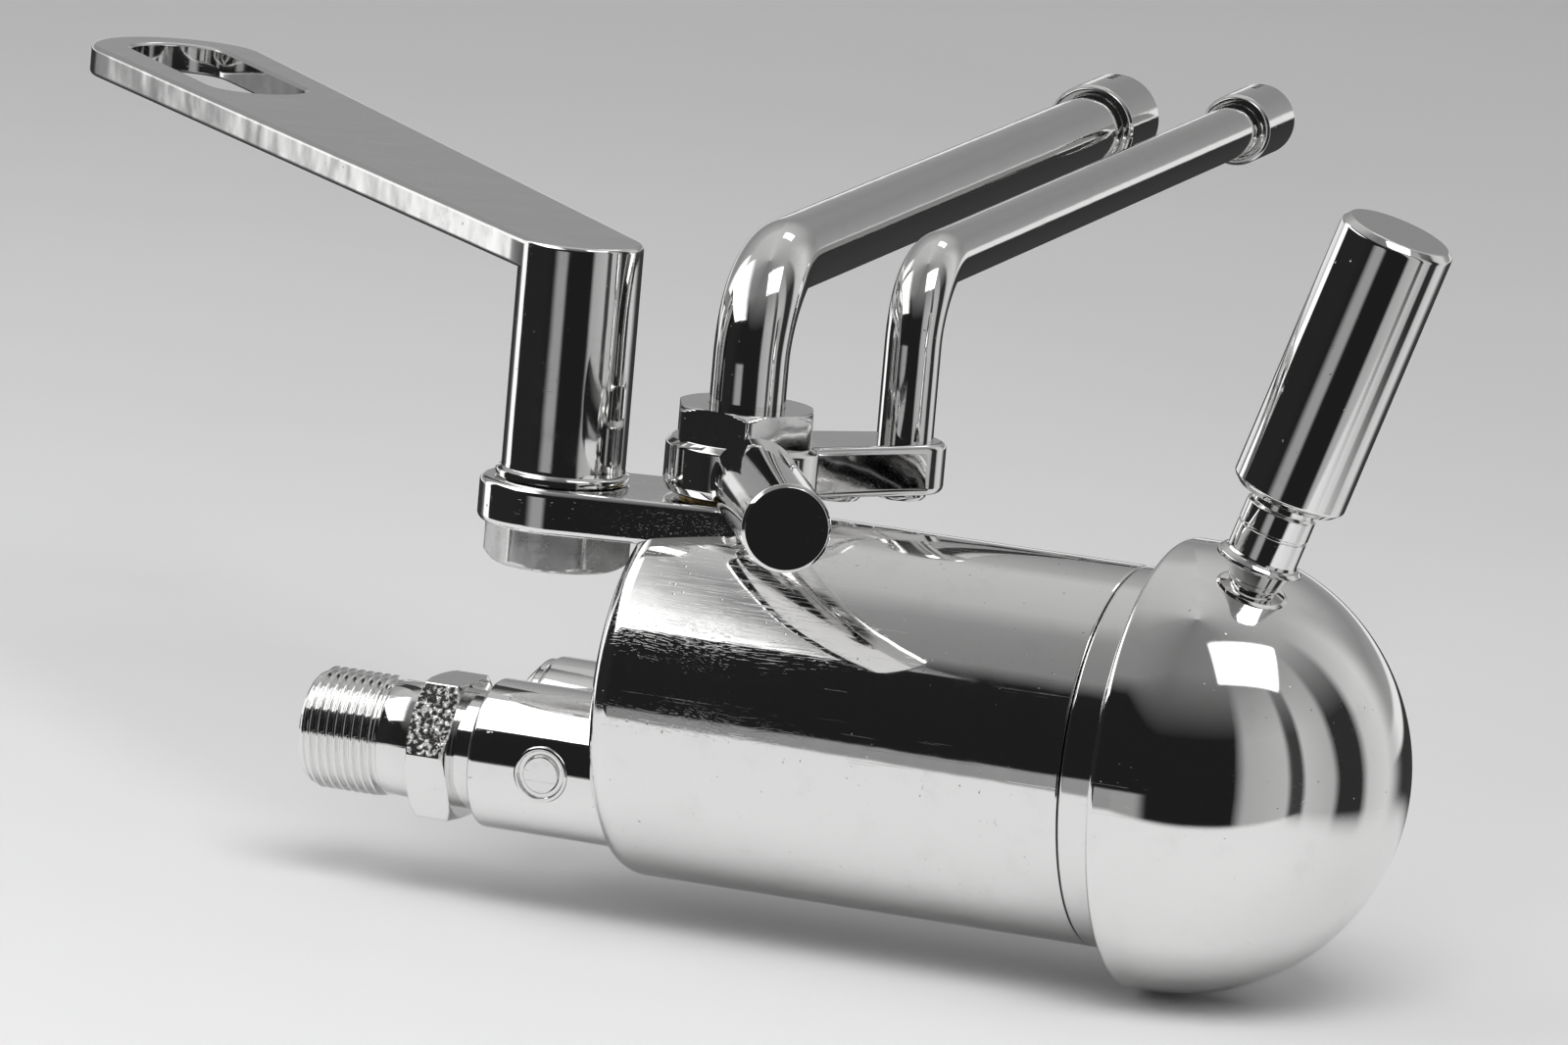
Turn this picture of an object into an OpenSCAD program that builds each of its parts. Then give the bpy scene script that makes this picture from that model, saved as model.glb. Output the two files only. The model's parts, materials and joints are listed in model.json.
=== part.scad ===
// Lever-operated two-inlet angle valve with a swing-out pair of wash tubes and a seat-bolt bracket.
// Millimetres, +Z up. The origin is the centre of the free end of the inlet thread.
// Inside the file the pieces are laid out from the point where the swing hub's axis crosses
// the body's axis: +X towards the handle, +Y towards the bowl. in_frame() shifts them.

/* [Body] */
// Outer diameter of the valve body
body_d = 44; // [43:0.5:46]
// Hub axis to the front (handle) face of the body
body_front = 49.1; // [48:0.1:56]
// Hub axis to the inlet end face of the body
body_back = 8.7; // [8.5:0.1:9.2]
// Rounding of the inlet end of the body
body_round = 3; // [2.5:0.1:3.2]
// Width of the bonnet ring between the body and the handle
ring_w = 4.6; // [4:0.1:5]

/* [Inlets] */
// Sideways offset of each inlet boss from the body axis
boss_y = 9; // [8.9:0.05:9.1]
// Drop of both inlet bosses below the body axis
boss_drop = 9; // [8.8:0.1:9.2]
// Diameter of each inlet boss
boss_d = 17.4; // [17:0.1:17.6]
// Length of each inlet boss beyond the body's inlet end face
boss_len = 15.4; // [15:0.1:17]
// Width across flats of the hexagon on the inlet nipple
hex_af = 15.9; // [15:0.1:17]
// Outer diameter of the male inlet thread
thread_d = 14.2; // [14:0.05:14.3]
// Length of the male inlet thread
thread_len = 9.7; // [9:0.1:11]

/* [Handle] */
// Diameter of the dome handle
dome_d = 52; // [51.6:0.2:54]
// Lean of the lever from square to the body axis, in degrees
lever_lean = 18; // [12:1:22]
// Distance of the lever axis behind the dome's centre
lever_back = 1.3; // [0:0.1:2]
// Diameter of the lever neck
neck_d = 8.3; // [7.5:0.1:9]
// Length of the lever neck above the dome
neck_len = 8.2; // [8:0.1:12]
// Diameter of the lever grip
grip_d = 13.4; // [11:0.2:14]
// Length of the lever grip
grip_len = 33.5; // [28:0.5:36]

/* [Swing hub] */
// Diameter of the swing hub
hub_d = 18; // [17.6:0.2:18.2]
// Outer diameter of the larger wash tube
tube1_d = 8.8; // [8:0.1:8.8]
// Outer diameter of the smaller wash tube
tube2_d = 6.6; // [6:0.1:6.6]
// Reach of each wash tube over the bowl, from its own riser
tube_end = 150; // [148:1:170]
// Turn of both wash tubes from square to the barrel
tube_turn = 4; // [0:1:8]
// Diameter of the thumb rod
rod_d = 10.2; // [9:0.1:10.4]
// Hub axis to the end of the thumb rod
rod_len = 41; // [36:1:46]

/* [Bracket] */
// Diameter of the bracket post
post_d = 14; // [13:0.5:15]
// Post axis to the centre of the slot's outer end
arm_len = 138; // [125:1:145]
// Direction of the arm from +X, in degrees
arm_dir = 133; // [131:1:142]
// Thickness of the arm
arm_t = 3.7; // [3:0.1:4.2]
// Width of the slot for the seat bolt
slot_w = 12; // [10:0.5:13]
// End-to-end length of the slot
slot_len = 40; // [30:1:44]

/* [Hidden] */
$fn = 96;

chrome = [0.82, 0.83, 0.85];
brass = [0.78, 0.62, 0.30];
steel = [0.66, 0.67, 0.69];
rubber = [0.08, 0.08, 0.09];
ceramic = [0.93, 0.93, 0.95];

// Cartridge stations along the body; each is the inlet-side face of its piece
body_r = body_d/2;
floor_x = body_front - 35.1;         // floor of the cartridge chamber
disc_x = floor_x + 5;
slide_x = disc_x + 4;
carrier_x = slide_x + 4;
nut_x = floor_x + 27;
pivot_x = floor_x + 29;              // tilt axis of the handle
nut_r = 18.4;
port_in = [6.8, -5.6];               // y and z of one inlet port; the other is mirrored in y
port_out = [0, 9];
port_in_r = 2.4;
port_out_r = 3;
dowel_z = -14;
dowel_r = 2;
pin_r = 1.5;
stem_w = 7;                          // side of the square stem

// Inlets
boss_r = boss_d/2;
boss_tip = -(body_back + boss_len);
socket_x = boss_tip + 8.1;           // floor of the threaded sockets
socket_r = 6.3;
shank_r = socket_r - 0.05;
washer_x = socket_x - 0.6;
nipple_tip = boss_tip - 21.9;        // free end of the inlet thread
thread_r = thread_d/2;
thread_end = nipple_tip + thread_len;
check_r = 4.57;                      // radius of the check valve's seat and cage
check_ball_r = 2.8;
cage_x = nipple_tip + 5;
side_plug_r = 3.25;

// Handle; heights along the lever are from beside the dome's centre
dome_x = floor_x + 42.6;             // centre of the dome's sphere
dome_r = dome_d/2;
screw_x = dome_x + 7.4;
root_r = 3;                          // lever neck inside the dome
root_z = 16;
neck_r = neck_d/2;
collar_r = neck_r + 0.85;
collar_z = dome_r - 0.6;
neck_top = dome_r + neck_len;
grip_r = grip_d/2;

// Lug, swing hub and bracket
post = [-20, -5];
lug_top = 23.2;
lug_bottom = lug_top - 5.2;
spigot_z = 13.3;                     // lower end of the pivot spigot
hub_r = hub_d/2;
hub_bottom = 23.5;
hub_top = 30;
recess_z = 28;                       // floor of the recess above the journal bore
large_riser = [0, 0];
small_riser = [13.8, 16.2];
riser_gap = norm(small_riser);
hub_arm_dir = atan2(small_riser.y, small_riser.x);
hub_arm_z = 24;                      // underside of the hub's arm
drill_z = 26.9;                      // axis of the long drilling in the hub's arm
inner_drill = 12.6;                  // hub axis to the inner upright drilling
drill_r = 2.2;
tube_z = 50;
rod_dir = -62;
rod_z = lug_top + 3.8;
bolt_z = 13.3;                       // underside of the clamp bolt's head
arm_top = 51.2;
arm_z = arm_top - arm_t;

module in_frame() translate([-nipple_tip, boss_y, boss_drop]) children();

module x_cyl(from, to, radius, y = 0, z = 0)
    translate([from, y, z]) rotate([0, 90, 0]) cylinder(r = radius, h = to - from);

// Cylinder across the body, centred on y = 0
module y_cyl(length, radius, x)
    translate([x, length/2, 0]) rotate([90, 0, 0]) cylinder(r = radius, h = length);

module z_cyl(from, to, radius, x = 0, y = 0)
    translate([x, y, from]) cylinder(r = radius, h = to - from);

// Solids of revolution from [radius, x] and [radius, z] points
module x_rev(points, y = 0, z = 0)
    translate([0, y, z]) rotate([0, 90, 0]) rotate_extrude() polygon(points);
module z_rev(points, x = 0, y = 0) translate([x, y, 0]) rotate_extrude() polygon(points);

// The same about an inlet axis: side -1 is the near inlet (-Y), side 1 the far one
module inlet_cyl(from, to, radius, side = -1)
    x_cyl(from, to, radius, side*boss_y, -boss_drop);
module inlet_rev(points, side = -1) x_rev(points, side*boss_y, -boss_drop);

// Box centred on y = 0
module mid_box(x, z, size) translate([x, -size.y/2, z]) cube(size);

module hex_bar(height, flats) cylinder(r = flats/2/cos(30), h = height, $fn = 6);

module torus(major, minor) rotate_extrude() translate([major, 0]) circle(r = minor, $fn = 32);
module x_torus(major, minor, x, y = 0, z = 0)
    translate([x, y, z]) rotate([0, 90, 0]) torus(major, minor);

function arc(centre, radius, from, to, steps = 8) =
    [for (i = [0:steps]) let (angle = from + (to - from)*i/steps)
        centre + radius*[cos(angle), sin(angle)]];

// Outline of two circles joined by their outer tangents
function pill(centre1, radius1, centre2, radius2) =
    let (span = centre2 - centre1,
         dir = atan2(span.y, span.x),
         half = acos((radius1 - radius2)/norm(span)))
    concat(arc(centre1, radius1, dir + half, dir + 360 - half, 32),
           arc(centre2, radius2, dir - half, dir + half, 32));

module plate(from, to, outline) translate([0, 0, from]) linear_extrude(to - from) polygon(outline);

// Z runs out along the lever axis from beside the dome's centre
module on_lever() translate([dome_x - lever_back, 0, 0]) rotate([0, lever_lean, 0]) children();

// Z runs out from the near inlet's axis towards -Y
module on_side_plug()
    translate([boss_tip + 9.3, -boss_y, -boss_drop]) rotate([90, 0, 0]) children();

// One casting: barrel, two inlet bosses, and the lug that carries the hub and the post
module valve_body() color(chrome) in_frame() difference() {
    union() {
        x_rev(concat([[0, -body_back], [body_r - body_round, -body_back]],
            arc([body_r - body_round, -body_back + body_round], body_round, -90, 0),
            [[body_r, body_front], [0, body_front]]));
        for (side = [-1, 1]) inlet_rev([[0, boss_tip], [boss_r - 0.6, boss_tip],
            [boss_r, boss_tip + 0.6], [boss_r, -4], [0, -4]], side);
        plate(lug_bottom, lug_top, pill(post, 9.5, [0, 0], 9.2));
    }
    // Cartridge chamber and nut bore
    x_cyl(floor_x, body_front + 1, 17.6);
    x_cyl(nut_x, body_front + 2, nut_r + 0.1);
    // Inlet sockets and passages
    for (side = [-1, 1]) {
        inlet_cyl(boss_tip - 1, socket_x, socket_r, side);
        inlet_cyl(socket_x - 1, floor_x - 6, 3.5, side);
        x_cyl(floor_x - 10, floor_x + 1, port_in_r, side*port_in.x, port_in.y);
    }
    // Outlet passage up to the spigot bore
    x_cyl(0, floor_x + 1, port_out_r, 0, port_out.y);
    z_cyl(port_out.y - 1, 14, 2.9);
    z_cyl(spigot_z - 0.1, lug_top + 1, 5.5);
    // Dowel hole and clamp bolt hole
    x_cyl(floor_x - 3.2, floor_x + 1, dowel_r + 0.05, 0, dowel_z);
    z_cyl(lug_bottom - 1, lug_top + 1, 4.2, post.x, post.y);
    on_side_plug() {
        cylinder(r = 1.1, h = boss_d);
        translate([0, 0, boss_r - 2.3]) cylinder(r = side_plug_r + 0.05, h = 4);
    }
}

// Threaded ring that trims the joint and backs the cartridge nut
module bonnet_ring() color(chrome) in_frame() {
    back = floor_x + 31.2;
    rim = body_front + 0.1;
    front = rim + ring_w;
    x_rev([[15, back], [nut_r, back], [nut_r, rim], [body_r - 0.3, rim], [body_r, rim + 0.3],
        [body_r, front - 0.4], [body_r - 0.5, front], [15, front]]);
}

module cartridge_nut() color(brass) in_frame() difference() {
    x_cyl(nut_x, nut_x + 4, nut_r);
    x_cyl(nut_x - 1, nut_x + 5, 11.3);
    for (angle = [0:90:270]) rotate([angle, 0, 0]) mid_box(nut_x + 2, 14, [3, 4, 6]);
}

module cartridge_housing() color([0.9, 0.9, 0.88]) in_frame()
    x_rev([[15.6, disc_x], [17.4, disc_x], [17.4, nut_x], [11, nut_x], [11, nut_x + 9],
        [9, nut_x + 9], [9, nut_x - 1.4], [15.6, nut_x - 1.4]]);

module cartridge_base() color([0.86, 0.86, 0.84]) in_frame() difference() {
    union() {
        x_cyl(floor_x, disc_x, 17.4);
        x_cyl(floor_x - 3, floor_x + 1, dowel_r, 0, dowel_z);
    }
    // Each port has a wider recess for its seal
    for (side = [-1, 1]) {
        x_cyl(floor_x - 1, disc_x + 1, port_in_r, side*port_in.x, port_in.y);
        x_cyl(floor_x - 1, floor_x + 1.5, 4, side*port_in.x, port_in.y);
    }
    x_cyl(floor_x - 1, disc_x + 1, port_out_r, port_out.x, port_out.y);
    x_cyl(floor_x - 1, floor_x + 1.5, 4.8, port_out.x, port_out.y);
}

// Three O-rings on the chamber floor: two inlets and one outlet
module base_seals() color(rubber) in_frame() {
    for (side = [-1, 1]) x_torus(3.2, 0.72, floor_x + 0.75, side*port_in.x, port_in.y);
    x_torus(4, 0.72, floor_x + 0.75, port_out.x, port_out.y);
}

module fixed_disc() color(ceramic) in_frame() difference() {
    x_cyl(disc_x, slide_x, 15.5);
    for (side = [-1, 1]) {
        x_cyl(disc_x - 1, slide_x + 1, 2.2, side*port_in.x, port_in.y);
        translate([0, side*15.6, 0]) mid_box(disc_x - 1, -1.5, [6, 2.4, 3]);
    }
    x_cyl(disc_x - 1, slide_x + 1, 2.8, port_out.x, port_out.y);
}

// The moving disc and its carrier sit low on the body axis, joined by two pegs
slide_r = 13;
slide_z = -1.8;
peg_y = 8;

// Blind T-shaped pocket: it bridges the inlets to the outlet once the disc has slid up
module moving_disc() color(ceramic) in_frame() difference() {
    x_cyl(slide_x + 0.02, carrier_x, slide_r, 0, slide_z);
    mid_box(slide_x - 1, -10, [3, 5, 18]);
    mid_box(slide_x - 1, -11.5, [3, 14, 2.5]);
    for (side = [-1, 1]) x_cyl(carrier_x - 1, carrier_x + 1, 1.5, side*peg_y, slide_z);
}

module disc_carrier() color([0.25, 0.27, 0.3]) in_frame() difference() {
    union() {
        x_cyl(carrier_x, carrier_x + 6, slide_r, 0, slide_z);
        for (side = [-1, 1]) x_cyl(carrier_x - 0.9, carrier_x + 1, 1.45, side*peg_y, slide_z);
    }
    mid_box(carrier_x + 0.4, -3.4, [8, stem_w + 0.2, 6.8]);
}

module rotor_guide() color([0.85, 0.85, 0.83]) in_frame() difference() {
    back = carrier_x + 6.2;
    step = back + 6.3;
    front = floor_x + 35;
    // Flange, then a neck with the seal groove
    x_rev([[0, back], [15.53, back], [15.53, step], [8.93, step], [8.93, front - 4],
        [7.4, front - 4], [7.4, front - 2.4], [8.93, front - 2.4], [8.93, front], [0, front]]);
    mid_box(floor_x + 18, -6, [18, stem_w + 0.2, 13]);
    y_cyl(24, pin_r + 0.02, pivot_x);
}

module rotor_seal() color(rubber) in_frame() x_torus(8.15, 0.72, floor_x + 31.8);

module pivot_pin() color(steel) in_frame() y_cyl(17.4, pin_r, pivot_x);

// Square stem: round nose in the carrier, pin hole in the middle, handle on the free end
module lever_stem() color(brass) in_frame() difference() {
    nose_x = floor_x + 17;
    union() {
        mid_box(nose_x + 8, -stem_w/2, [33, stem_w, stem_w]);
        mid_box(nose_x, -2.2, [9, stem_w, 4.4]);
        y_cyl(stem_w, 3.3, nose_x);
    }
    y_cyl(10, pin_r + 0.05, pivot_x);
}

// Hollow dome: open skirt facing the bonnet ring, square socket on the stem
module dome_handle() color(chrome) in_frame() difference() {
    skirt_x = dome_x - 2.8;
    socket_w = stem_w + 0.1;
    union() {
        difference() {
            union() {
                intersection() {
                    translate([dome_x, 0, 0]) sphere(r = dome_r);
                    mid_box(dome_x, -40, [80, 80, 80]);
                }
                x_rev([[0, skirt_x], [dome_r - 0.8, skirt_x], [dome_r, dome_x - 2],
                    [dome_r, dome_x], [0, dome_x]]);
            }
            // Hollow around the central socket boss
            x_rev([[8, dome_x - 4], [dome_r - 1.8, dome_x - 4], [dome_r - 1.8, dome_x + 3.4],
                [dome_r - 3.5, dome_x + 5.4], [dome_r - 7, dome_x + 11.4],
                [13, dome_x + 14.4], [8, dome_x + 14.4]]);
            x_cyl(dome_x - 4, dome_x + 1.4, 9);
        }
        on_lever() translate([0, 0, root_z]) cylinder(r = 5, h = 8);
    }
    mid_box(dome_x - 4, -socket_w/2, [19.6, socket_w, socket_w]);
    on_lever() translate([0, 0, 12]) cylinder(r = root_r + 0.05, h = 20);
    on_lever() translate([0, 0, collar_z]) cylinder(r = collar_r + 0.1, h = 6);
    z_cyl(-9, -2, 2, screw_x);
    z_cyl(-dome_r - 2, -8.5, 2.4, screw_x);
}

module handle_screw() color(steel) in_frame() difference() {
    z_cyl(-8.2, -3.6, 1.95, screw_x);
    translate([screw_x, 0, -9]) hex_bar(2.8, 2);
}

module lever_neck() color(chrome) in_frame() on_lever()
    z_rev([[0, root_z], [root_r, root_z], [root_r, collar_z], [collar_r, collar_z],
        [collar_r, collar_z + 1.2], [neck_r + 0.45, collar_z + 1.5], [neck_r, collar_z + 1.5],
        [neck_r, neck_top], [2.5, neck_top], [2.5, neck_top + 12], [0, neck_top + 12]]);

module lever_grip() color(chrome) in_frame() on_lever() translate([0, 0, neck_top])
    z_rev([[2.55, 0], [grip_r - 0.8, 0], [grip_r, 0.8], [grip_r, grip_len - 0.7],
        [grip_r - 0.7, grip_len], [0, grip_len], [0, 13], [2.55, 13]]);

// Male thread to the supply hose, wrench hexagon, and threaded shank in the near boss
module inlet_nipple() color(chrome) in_frame() difference() {
    hex_x = boss_tip - 7.8;
    union() {
        inlet_rev([[0, nipple_tip], [thread_r - 0.7, nipple_tip], [thread_r, nipple_tip + 0.02],
            [thread_r, thread_end], [0, thread_end]]);
        inlet_cyl(thread_end, hex_x, 6.75);
        translate([hex_x, -boss_y, -boss_drop]) rotate([0, 90, 0]) rotate([0, 0, 30])
            hex_bar(5.1, hex_af);
        inlet_cyl(boss_tip - 2.8, boss_tip - 0.1, 6.9);
        inlet_cyl(boss_tip - 0.1, washer_x, shank_r);
    }
    inlet_cyl(nipple_tip - 1, nipple_tip + 14, 4.6);
    inlet_cyl(nipple_tip + 13, socket_x, 3.2);
}

module socket_washers() color([0.45, 0.2, 0.15]) in_frame() for (side = [-1, 1]) difference() {
    inlet_cyl(washer_x, socket_x, 6.2, side);
    inlet_cyl(socket_x - 1, socket_x + 1, 3.6, side);
}

module filter_screen() color(steel) in_frame() difference() {
    pitch = 1.5;
    inlet_cyl(nipple_tip + 0.6, nipple_tip + 1.4, 4.56);
    for (i = [-2:2]) for (j = [-2:2]) if (i*i + j*j < 6)
        x_cyl(nipple_tip, nipple_tip + 2, 0.45, -boss_y + i*pitch, -boss_drop + j*pitch);
}

module check_seat() color(brass) in_frame() difference() {
    inlet_cyl(cage_x - 3, cage_x, check_r);
    inlet_cyl(cage_x - 4, cage_x + 1, 2.2);
}

module check_ball() color([0.1, 0.1, 0.11]) in_frame()
    translate([cage_x + 1.76, -boss_y, -boss_drop]) sphere(r = check_ball_r);

module check_cage() color([0.9, 0.9, 0.88]) in_frame() difference() {
    hole_ring_r = 2.9;
    inlet_cyl(cage_x, cage_x + 8, check_r);
    inlet_cyl(cage_x - 1, cage_x + 6.4, check_ball_r + 0.07);
    for (angle = [45:90:315]) x_cyl(cage_x - 1, cage_x + 9, 0.9,
        -boss_y + hole_ring_r*cos(angle), -boss_drop + hole_ring_r*sin(angle));
}

// Closes the cross drilling in the near boss; its face has a ring groove
module side_plug() color(chrome) in_frame() on_side_plug() difference() {
    translate([0, 0, boss_r - 2.25]) cylinder(r = side_plug_r, h = 2.3);
    translate([0, 0, boss_r - 0.25]) difference() {
        cylinder(r = 2.75, h = 1);
        translate([0, 0, -1]) cylinder(r = 2.2, h = 3);
    }
}

// Blanks the far inlet when only one supply is connected
module blank_plug() color(chrome) in_frame() difference() {
    inlet_rev([[0, boss_tip - 2.6], [6.4, boss_tip - 2.6], [8.3, boss_tip - 0.9],
        [8.3, boss_tip], [shank_r, boss_tip], [shank_r, washer_x], [0, washer_x]], 1);
    translate([boss_tip - 3, boss_y, -boss_drop]) rotate([0, 90, 0]) hex_bar(5, 6);
}

// Hollow stud the hub swings on: flange, seal groove, water groove and clip groove
module pivot_spigot() color(brass) in_frame() difference() {
    journal_r = 5.94;
    z_rev([[2.6, spigot_z], [5.45, spigot_z], [5.45, lug_top], [6.9, lug_top],
        [6.9, 23.45], [journal_r, 23.45], [journal_r, 24.3], [4.55, 24.3],
        [4.55, 25.9], [journal_r, 25.9], [journal_r, 26.2], [4.9, 26.2],
        [4.9, 27.6], [journal_r, 27.6], [journal_r, recess_z], [5, recess_z],
        [5, 28.9], [5.25, 28.9], [5.25, 29.3], [2.6, 29.3]]);
    for (angle = [0, 90]) rotate([0, 0, angle]) x_cyl(-7, 7, 0.6, z = drill_z);
}

module spigot_seal() color(rubber) in_frame() translate([0, 0, 25.1]) torus(5.26, 0.67);

module hub_clip() color(steel) in_frame() difference() {
    z_cyl(recess_z + 0.05, recess_z + 0.85, 6.3);
    z_cyl(recess_z, recess_z + 1, 5.06);
    mid_box(4, 27.5, [4, 2.4, 2]);
}

// Hub and arm in one piece, drilled from the journal to the smaller tube
module swing_hub() color(chrome) in_frame() difference() {
    union() {
        z_rev([[0, hub_bottom], [hub_r - 1.2, hub_bottom], [hub_r - 0.35, hub_bottom + 0.35],
            [hub_r, hub_bottom + 1.2], [hub_r, hub_top - 0.7], [hub_r - 0.7, hub_top],
            [0, hub_top]]);
        plate(hub_arm_z, hub_top, pill([0, 0], 6.6, small_riser, 4.9));
    }
    z_cyl(hub_bottom - 1, recess_z, 6.02);
    z_cyl(recess_z - 0.1, hub_top + 1, 6.45);
    rotate([0, 0, hub_arm_dir]) x_cyl(5, riser_gap, 1.5, z = drill_z);
    z_cyl(26, hub_top + 0.5, tube2_d/2 + 0.02, small_riser.x, small_riser.y);
    z_cyl(hub_arm_z - 1, 26.5, drill_r, small_riser.x, small_riser.y);
    rotate([0, 0, hub_arm_dir]) z_cyl(hub_arm_z - 1, drill_z, drill_r, inner_drill);
    rotate([0, 0, rod_dir]) x_cyl(6.9, 10.9, 2.5, z = rod_z);
}

module union_nut() color(chrome) in_frame() difference() {
    nut_top = hub_top + 4;
    union() {
        intersection() {
            translate([0, 0, hub_top]) rotate([0, 0, -8.5]) hex_bar(4, 15.3);
            z_rev([[0, hub_top], [8.9, hub_top], [8.9, nut_top - 0.7], [7.8, nut_top],
                [0, nut_top]]);
        }
        z_cyl(hub_top - 1, hub_top + 0.01, 6.4);
    }
    z_cyl(hub_top - 2, hub_top + 2, 5.36);
    z_cyl(hub_top + 1, nut_top + 1, tube1_d/2 + 0.05);
}

module tube_ferrule() color(brass) in_frame() {
    bore_r = tube1_d/2 + 0.01;
    z_rev([[bore_r, 29.9], [4.6, 29.9], [5.3, 30.7], [5.3, 31.1], [4.7, 31.9], [bore_r, 31.9]]);
}

module at_riser(riser) translate([riser.x, riser.y, 0]) rotate([0, 0, tube_turn]) children();

// Up, over a quarter bend, then level towards the bowl; solid, with each end longer by extra
module tube_core(start_z, radius, bend, extra) {
    translate([0, 0, start_z - extra]) cylinder(r = radius, h = tube_z - bend - start_z + extra);
    translate([0, bend, tube_z - bend]) rotate([0, -90, 0]) rotate([0, 0, -90])
        rotate_extrude(angle = 90) translate([bend, 0]) circle(r = radius);
    translate([0, bend, tube_z]) rotate([-90, 0, 0])
        cylinder(r = radius, h = tube_end - bend + extra);
}

module wash_tube(riser, start_z, radius, wall, bend) at_riser(riser) difference() {
    tube_core(start_z, radius, bend, 0);
    tube_core(start_z, radius - wall, bend, 1);
}

module wash_tube_large() color(chrome) in_frame()
    wash_tube(large_riser, start_z = 29.6, radius = tube1_d/2, wall = 0.8, bend = 11);

module wash_tube_small() color(chrome) in_frame()
    wash_tube(small_riser, start_z = 26.1, radius = tube2_d/2, wall = 0.7, bend = 9);

// Two closed caps with spray holes on the upper side
module nozzle_tips() color(chrome) in_frame() {
    nozzle_tip(large_riser, tube1_d/2, hole_d = 1.0);
    nozzle_tip(small_riser, tube2_d/2, hole_d = 0.8);
}

// The profile is [radius, distance past the tube's end]
module nozzle_tip(riser, tube_r, hole_d)
    at_riser(riser) translate([0, tube_end, tube_z]) difference() {
        rotate([-90, 0, 0]) rotate_extrude() polygon([[tube_r + 0.03, -7], [tube_r + 0.9, -7],
            [tube_r + 1.2, -6.5], [tube_r + 1.2, 6], [tube_r, 7.5], [0, 7.5], [0, 5.5],
            [tube_r - 0.8, 5.5], [tube_r - 0.8, 0.05], [tube_r + 0.03, 0.05]]);
        for (i = [0:2]) translate([0, 1.4 + i*1.6, 0])
            cylinder(r = hole_d/2, h = tube_r + 3, $fn = 24);
    }

// Peg in the hub, narrow collar, then the rod
module thumb_rod() color(chrome) in_frame() rotate([0, 0, rod_dir]) translate([0, 0, rod_z]) {
    rod_r = rod_d/2;
    x_rev([[0, 7], [2.45, 7], [2.45, hub_r + 0.02], [3.2, hub_r + 0.02], [3.2, hub_r + 1.9],
        [rod_r - 0.5, hub_r + 1.9], [rod_r, hub_r + 2.4], [rod_r, rod_len - 0.7],
        [rod_r - 0.7, rod_len], [0, rod_len]]);
}

// Two plugs that close the drillings under the arm
module arm_plugs() color(chrome) in_frame()
    for (distance = [inner_drill, riser_gap]) rotate([0, 0, hub_arm_dir])
        z_rev([[0, 23], [2.6, 23], [3, 23.4], [3, 23.98], [2.17, 23.98], [2.17, 25.2],
            [0, 25.2]], distance);

// Post and slotted arm in one piece
module mounting_bracket() color(chrome) in_frame() difference() {
    foot_z = lug_top + 0.02;
    slot_start = arm_len - slot_len + slot_w;
    union() {
        z_cyl(foot_z, arm_z + 1, post_d/2, post.x, post.y);
        z_cyl(foot_z, lug_top + 1, post_d/2 + 0.8, post.x, post.y);
        plate(arm_z, arm_top, pill(post, post_d/2 + 0.15,
            post + arm_len*[cos(arm_dir), sin(arm_dir)], 11));
    }
    z_cyl(lug_top - 1, 41, 4, post.x, post.y);
    translate([post.x, post.y, 0]) rotate([0, 0, arm_dir]) {
        for (distance = [slot_start, arm_len])
            z_cyl(arm_z - 1, arm_top + 1, slot_w/2, distance);
        mid_box(slot_start, arm_z - 1, [slot_len - slot_w, slot_w, arm_t + 2]);
    }
}

// Comes up through the lug into the post and clamps the bracket's angle
module clamp_bolt() color(chrome) in_frame() union() {
    head_top = lug_bottom - 0.04;
    intersection() {
        translate([post.x, post.y, bolt_z]) rotate([0, 0, 12]) hex_bar(head_top - bolt_z, 15);
        z_rev([[0, bolt_z], [7.6, bolt_z], [8.7, bolt_z + 0.8], [8.7, head_top], [0, head_top]],
            post.x, post.y);
    }
    z_cyl(lug_bottom - 0.1, 38, 3.95, post.x, post.y);
}

valve_body();
bonnet_ring();
cartridge_nut();
cartridge_housing();
cartridge_base();
base_seals();
fixed_disc();
moving_disc();
disc_carrier();
rotor_guide();
rotor_seal();
pivot_pin();
lever_stem();
dome_handle();
handle_screw();
lever_neck();
lever_grip();
inlet_nipple();
socket_washers();
filter_screen();
check_seat();
check_ball();
check_cage();
side_plug();
blank_plug();
pivot_spigot();
spigot_seal();
hub_clip();
swing_hub();
union_nut();
tube_ferrule();
wash_tube_large();
wash_tube_small();
nozzle_tips();
thumb_rod();
arm_plugs();
mounting_bracket();
clamp_bolt();
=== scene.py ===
# Chromed lever valve: a barrel with a domed handle, a threaded inlet, a mounting bracket, and a
# swinging arm that carries two wash tubes.
#
# Lengths are millimetres in the layout frame: the hub's axis (vertical) crosses the barrel's axis
# (along X) at (0, 0, 0). +X runs to the handle, +Y to the bowl, +Z up. ROW_OFFSET moves that into
# the row's frame, in metres, whose origin is the inlet's free end.
import json
import math
import bpy
import bmesh
from mathutils import Vector, Matrix


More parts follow.
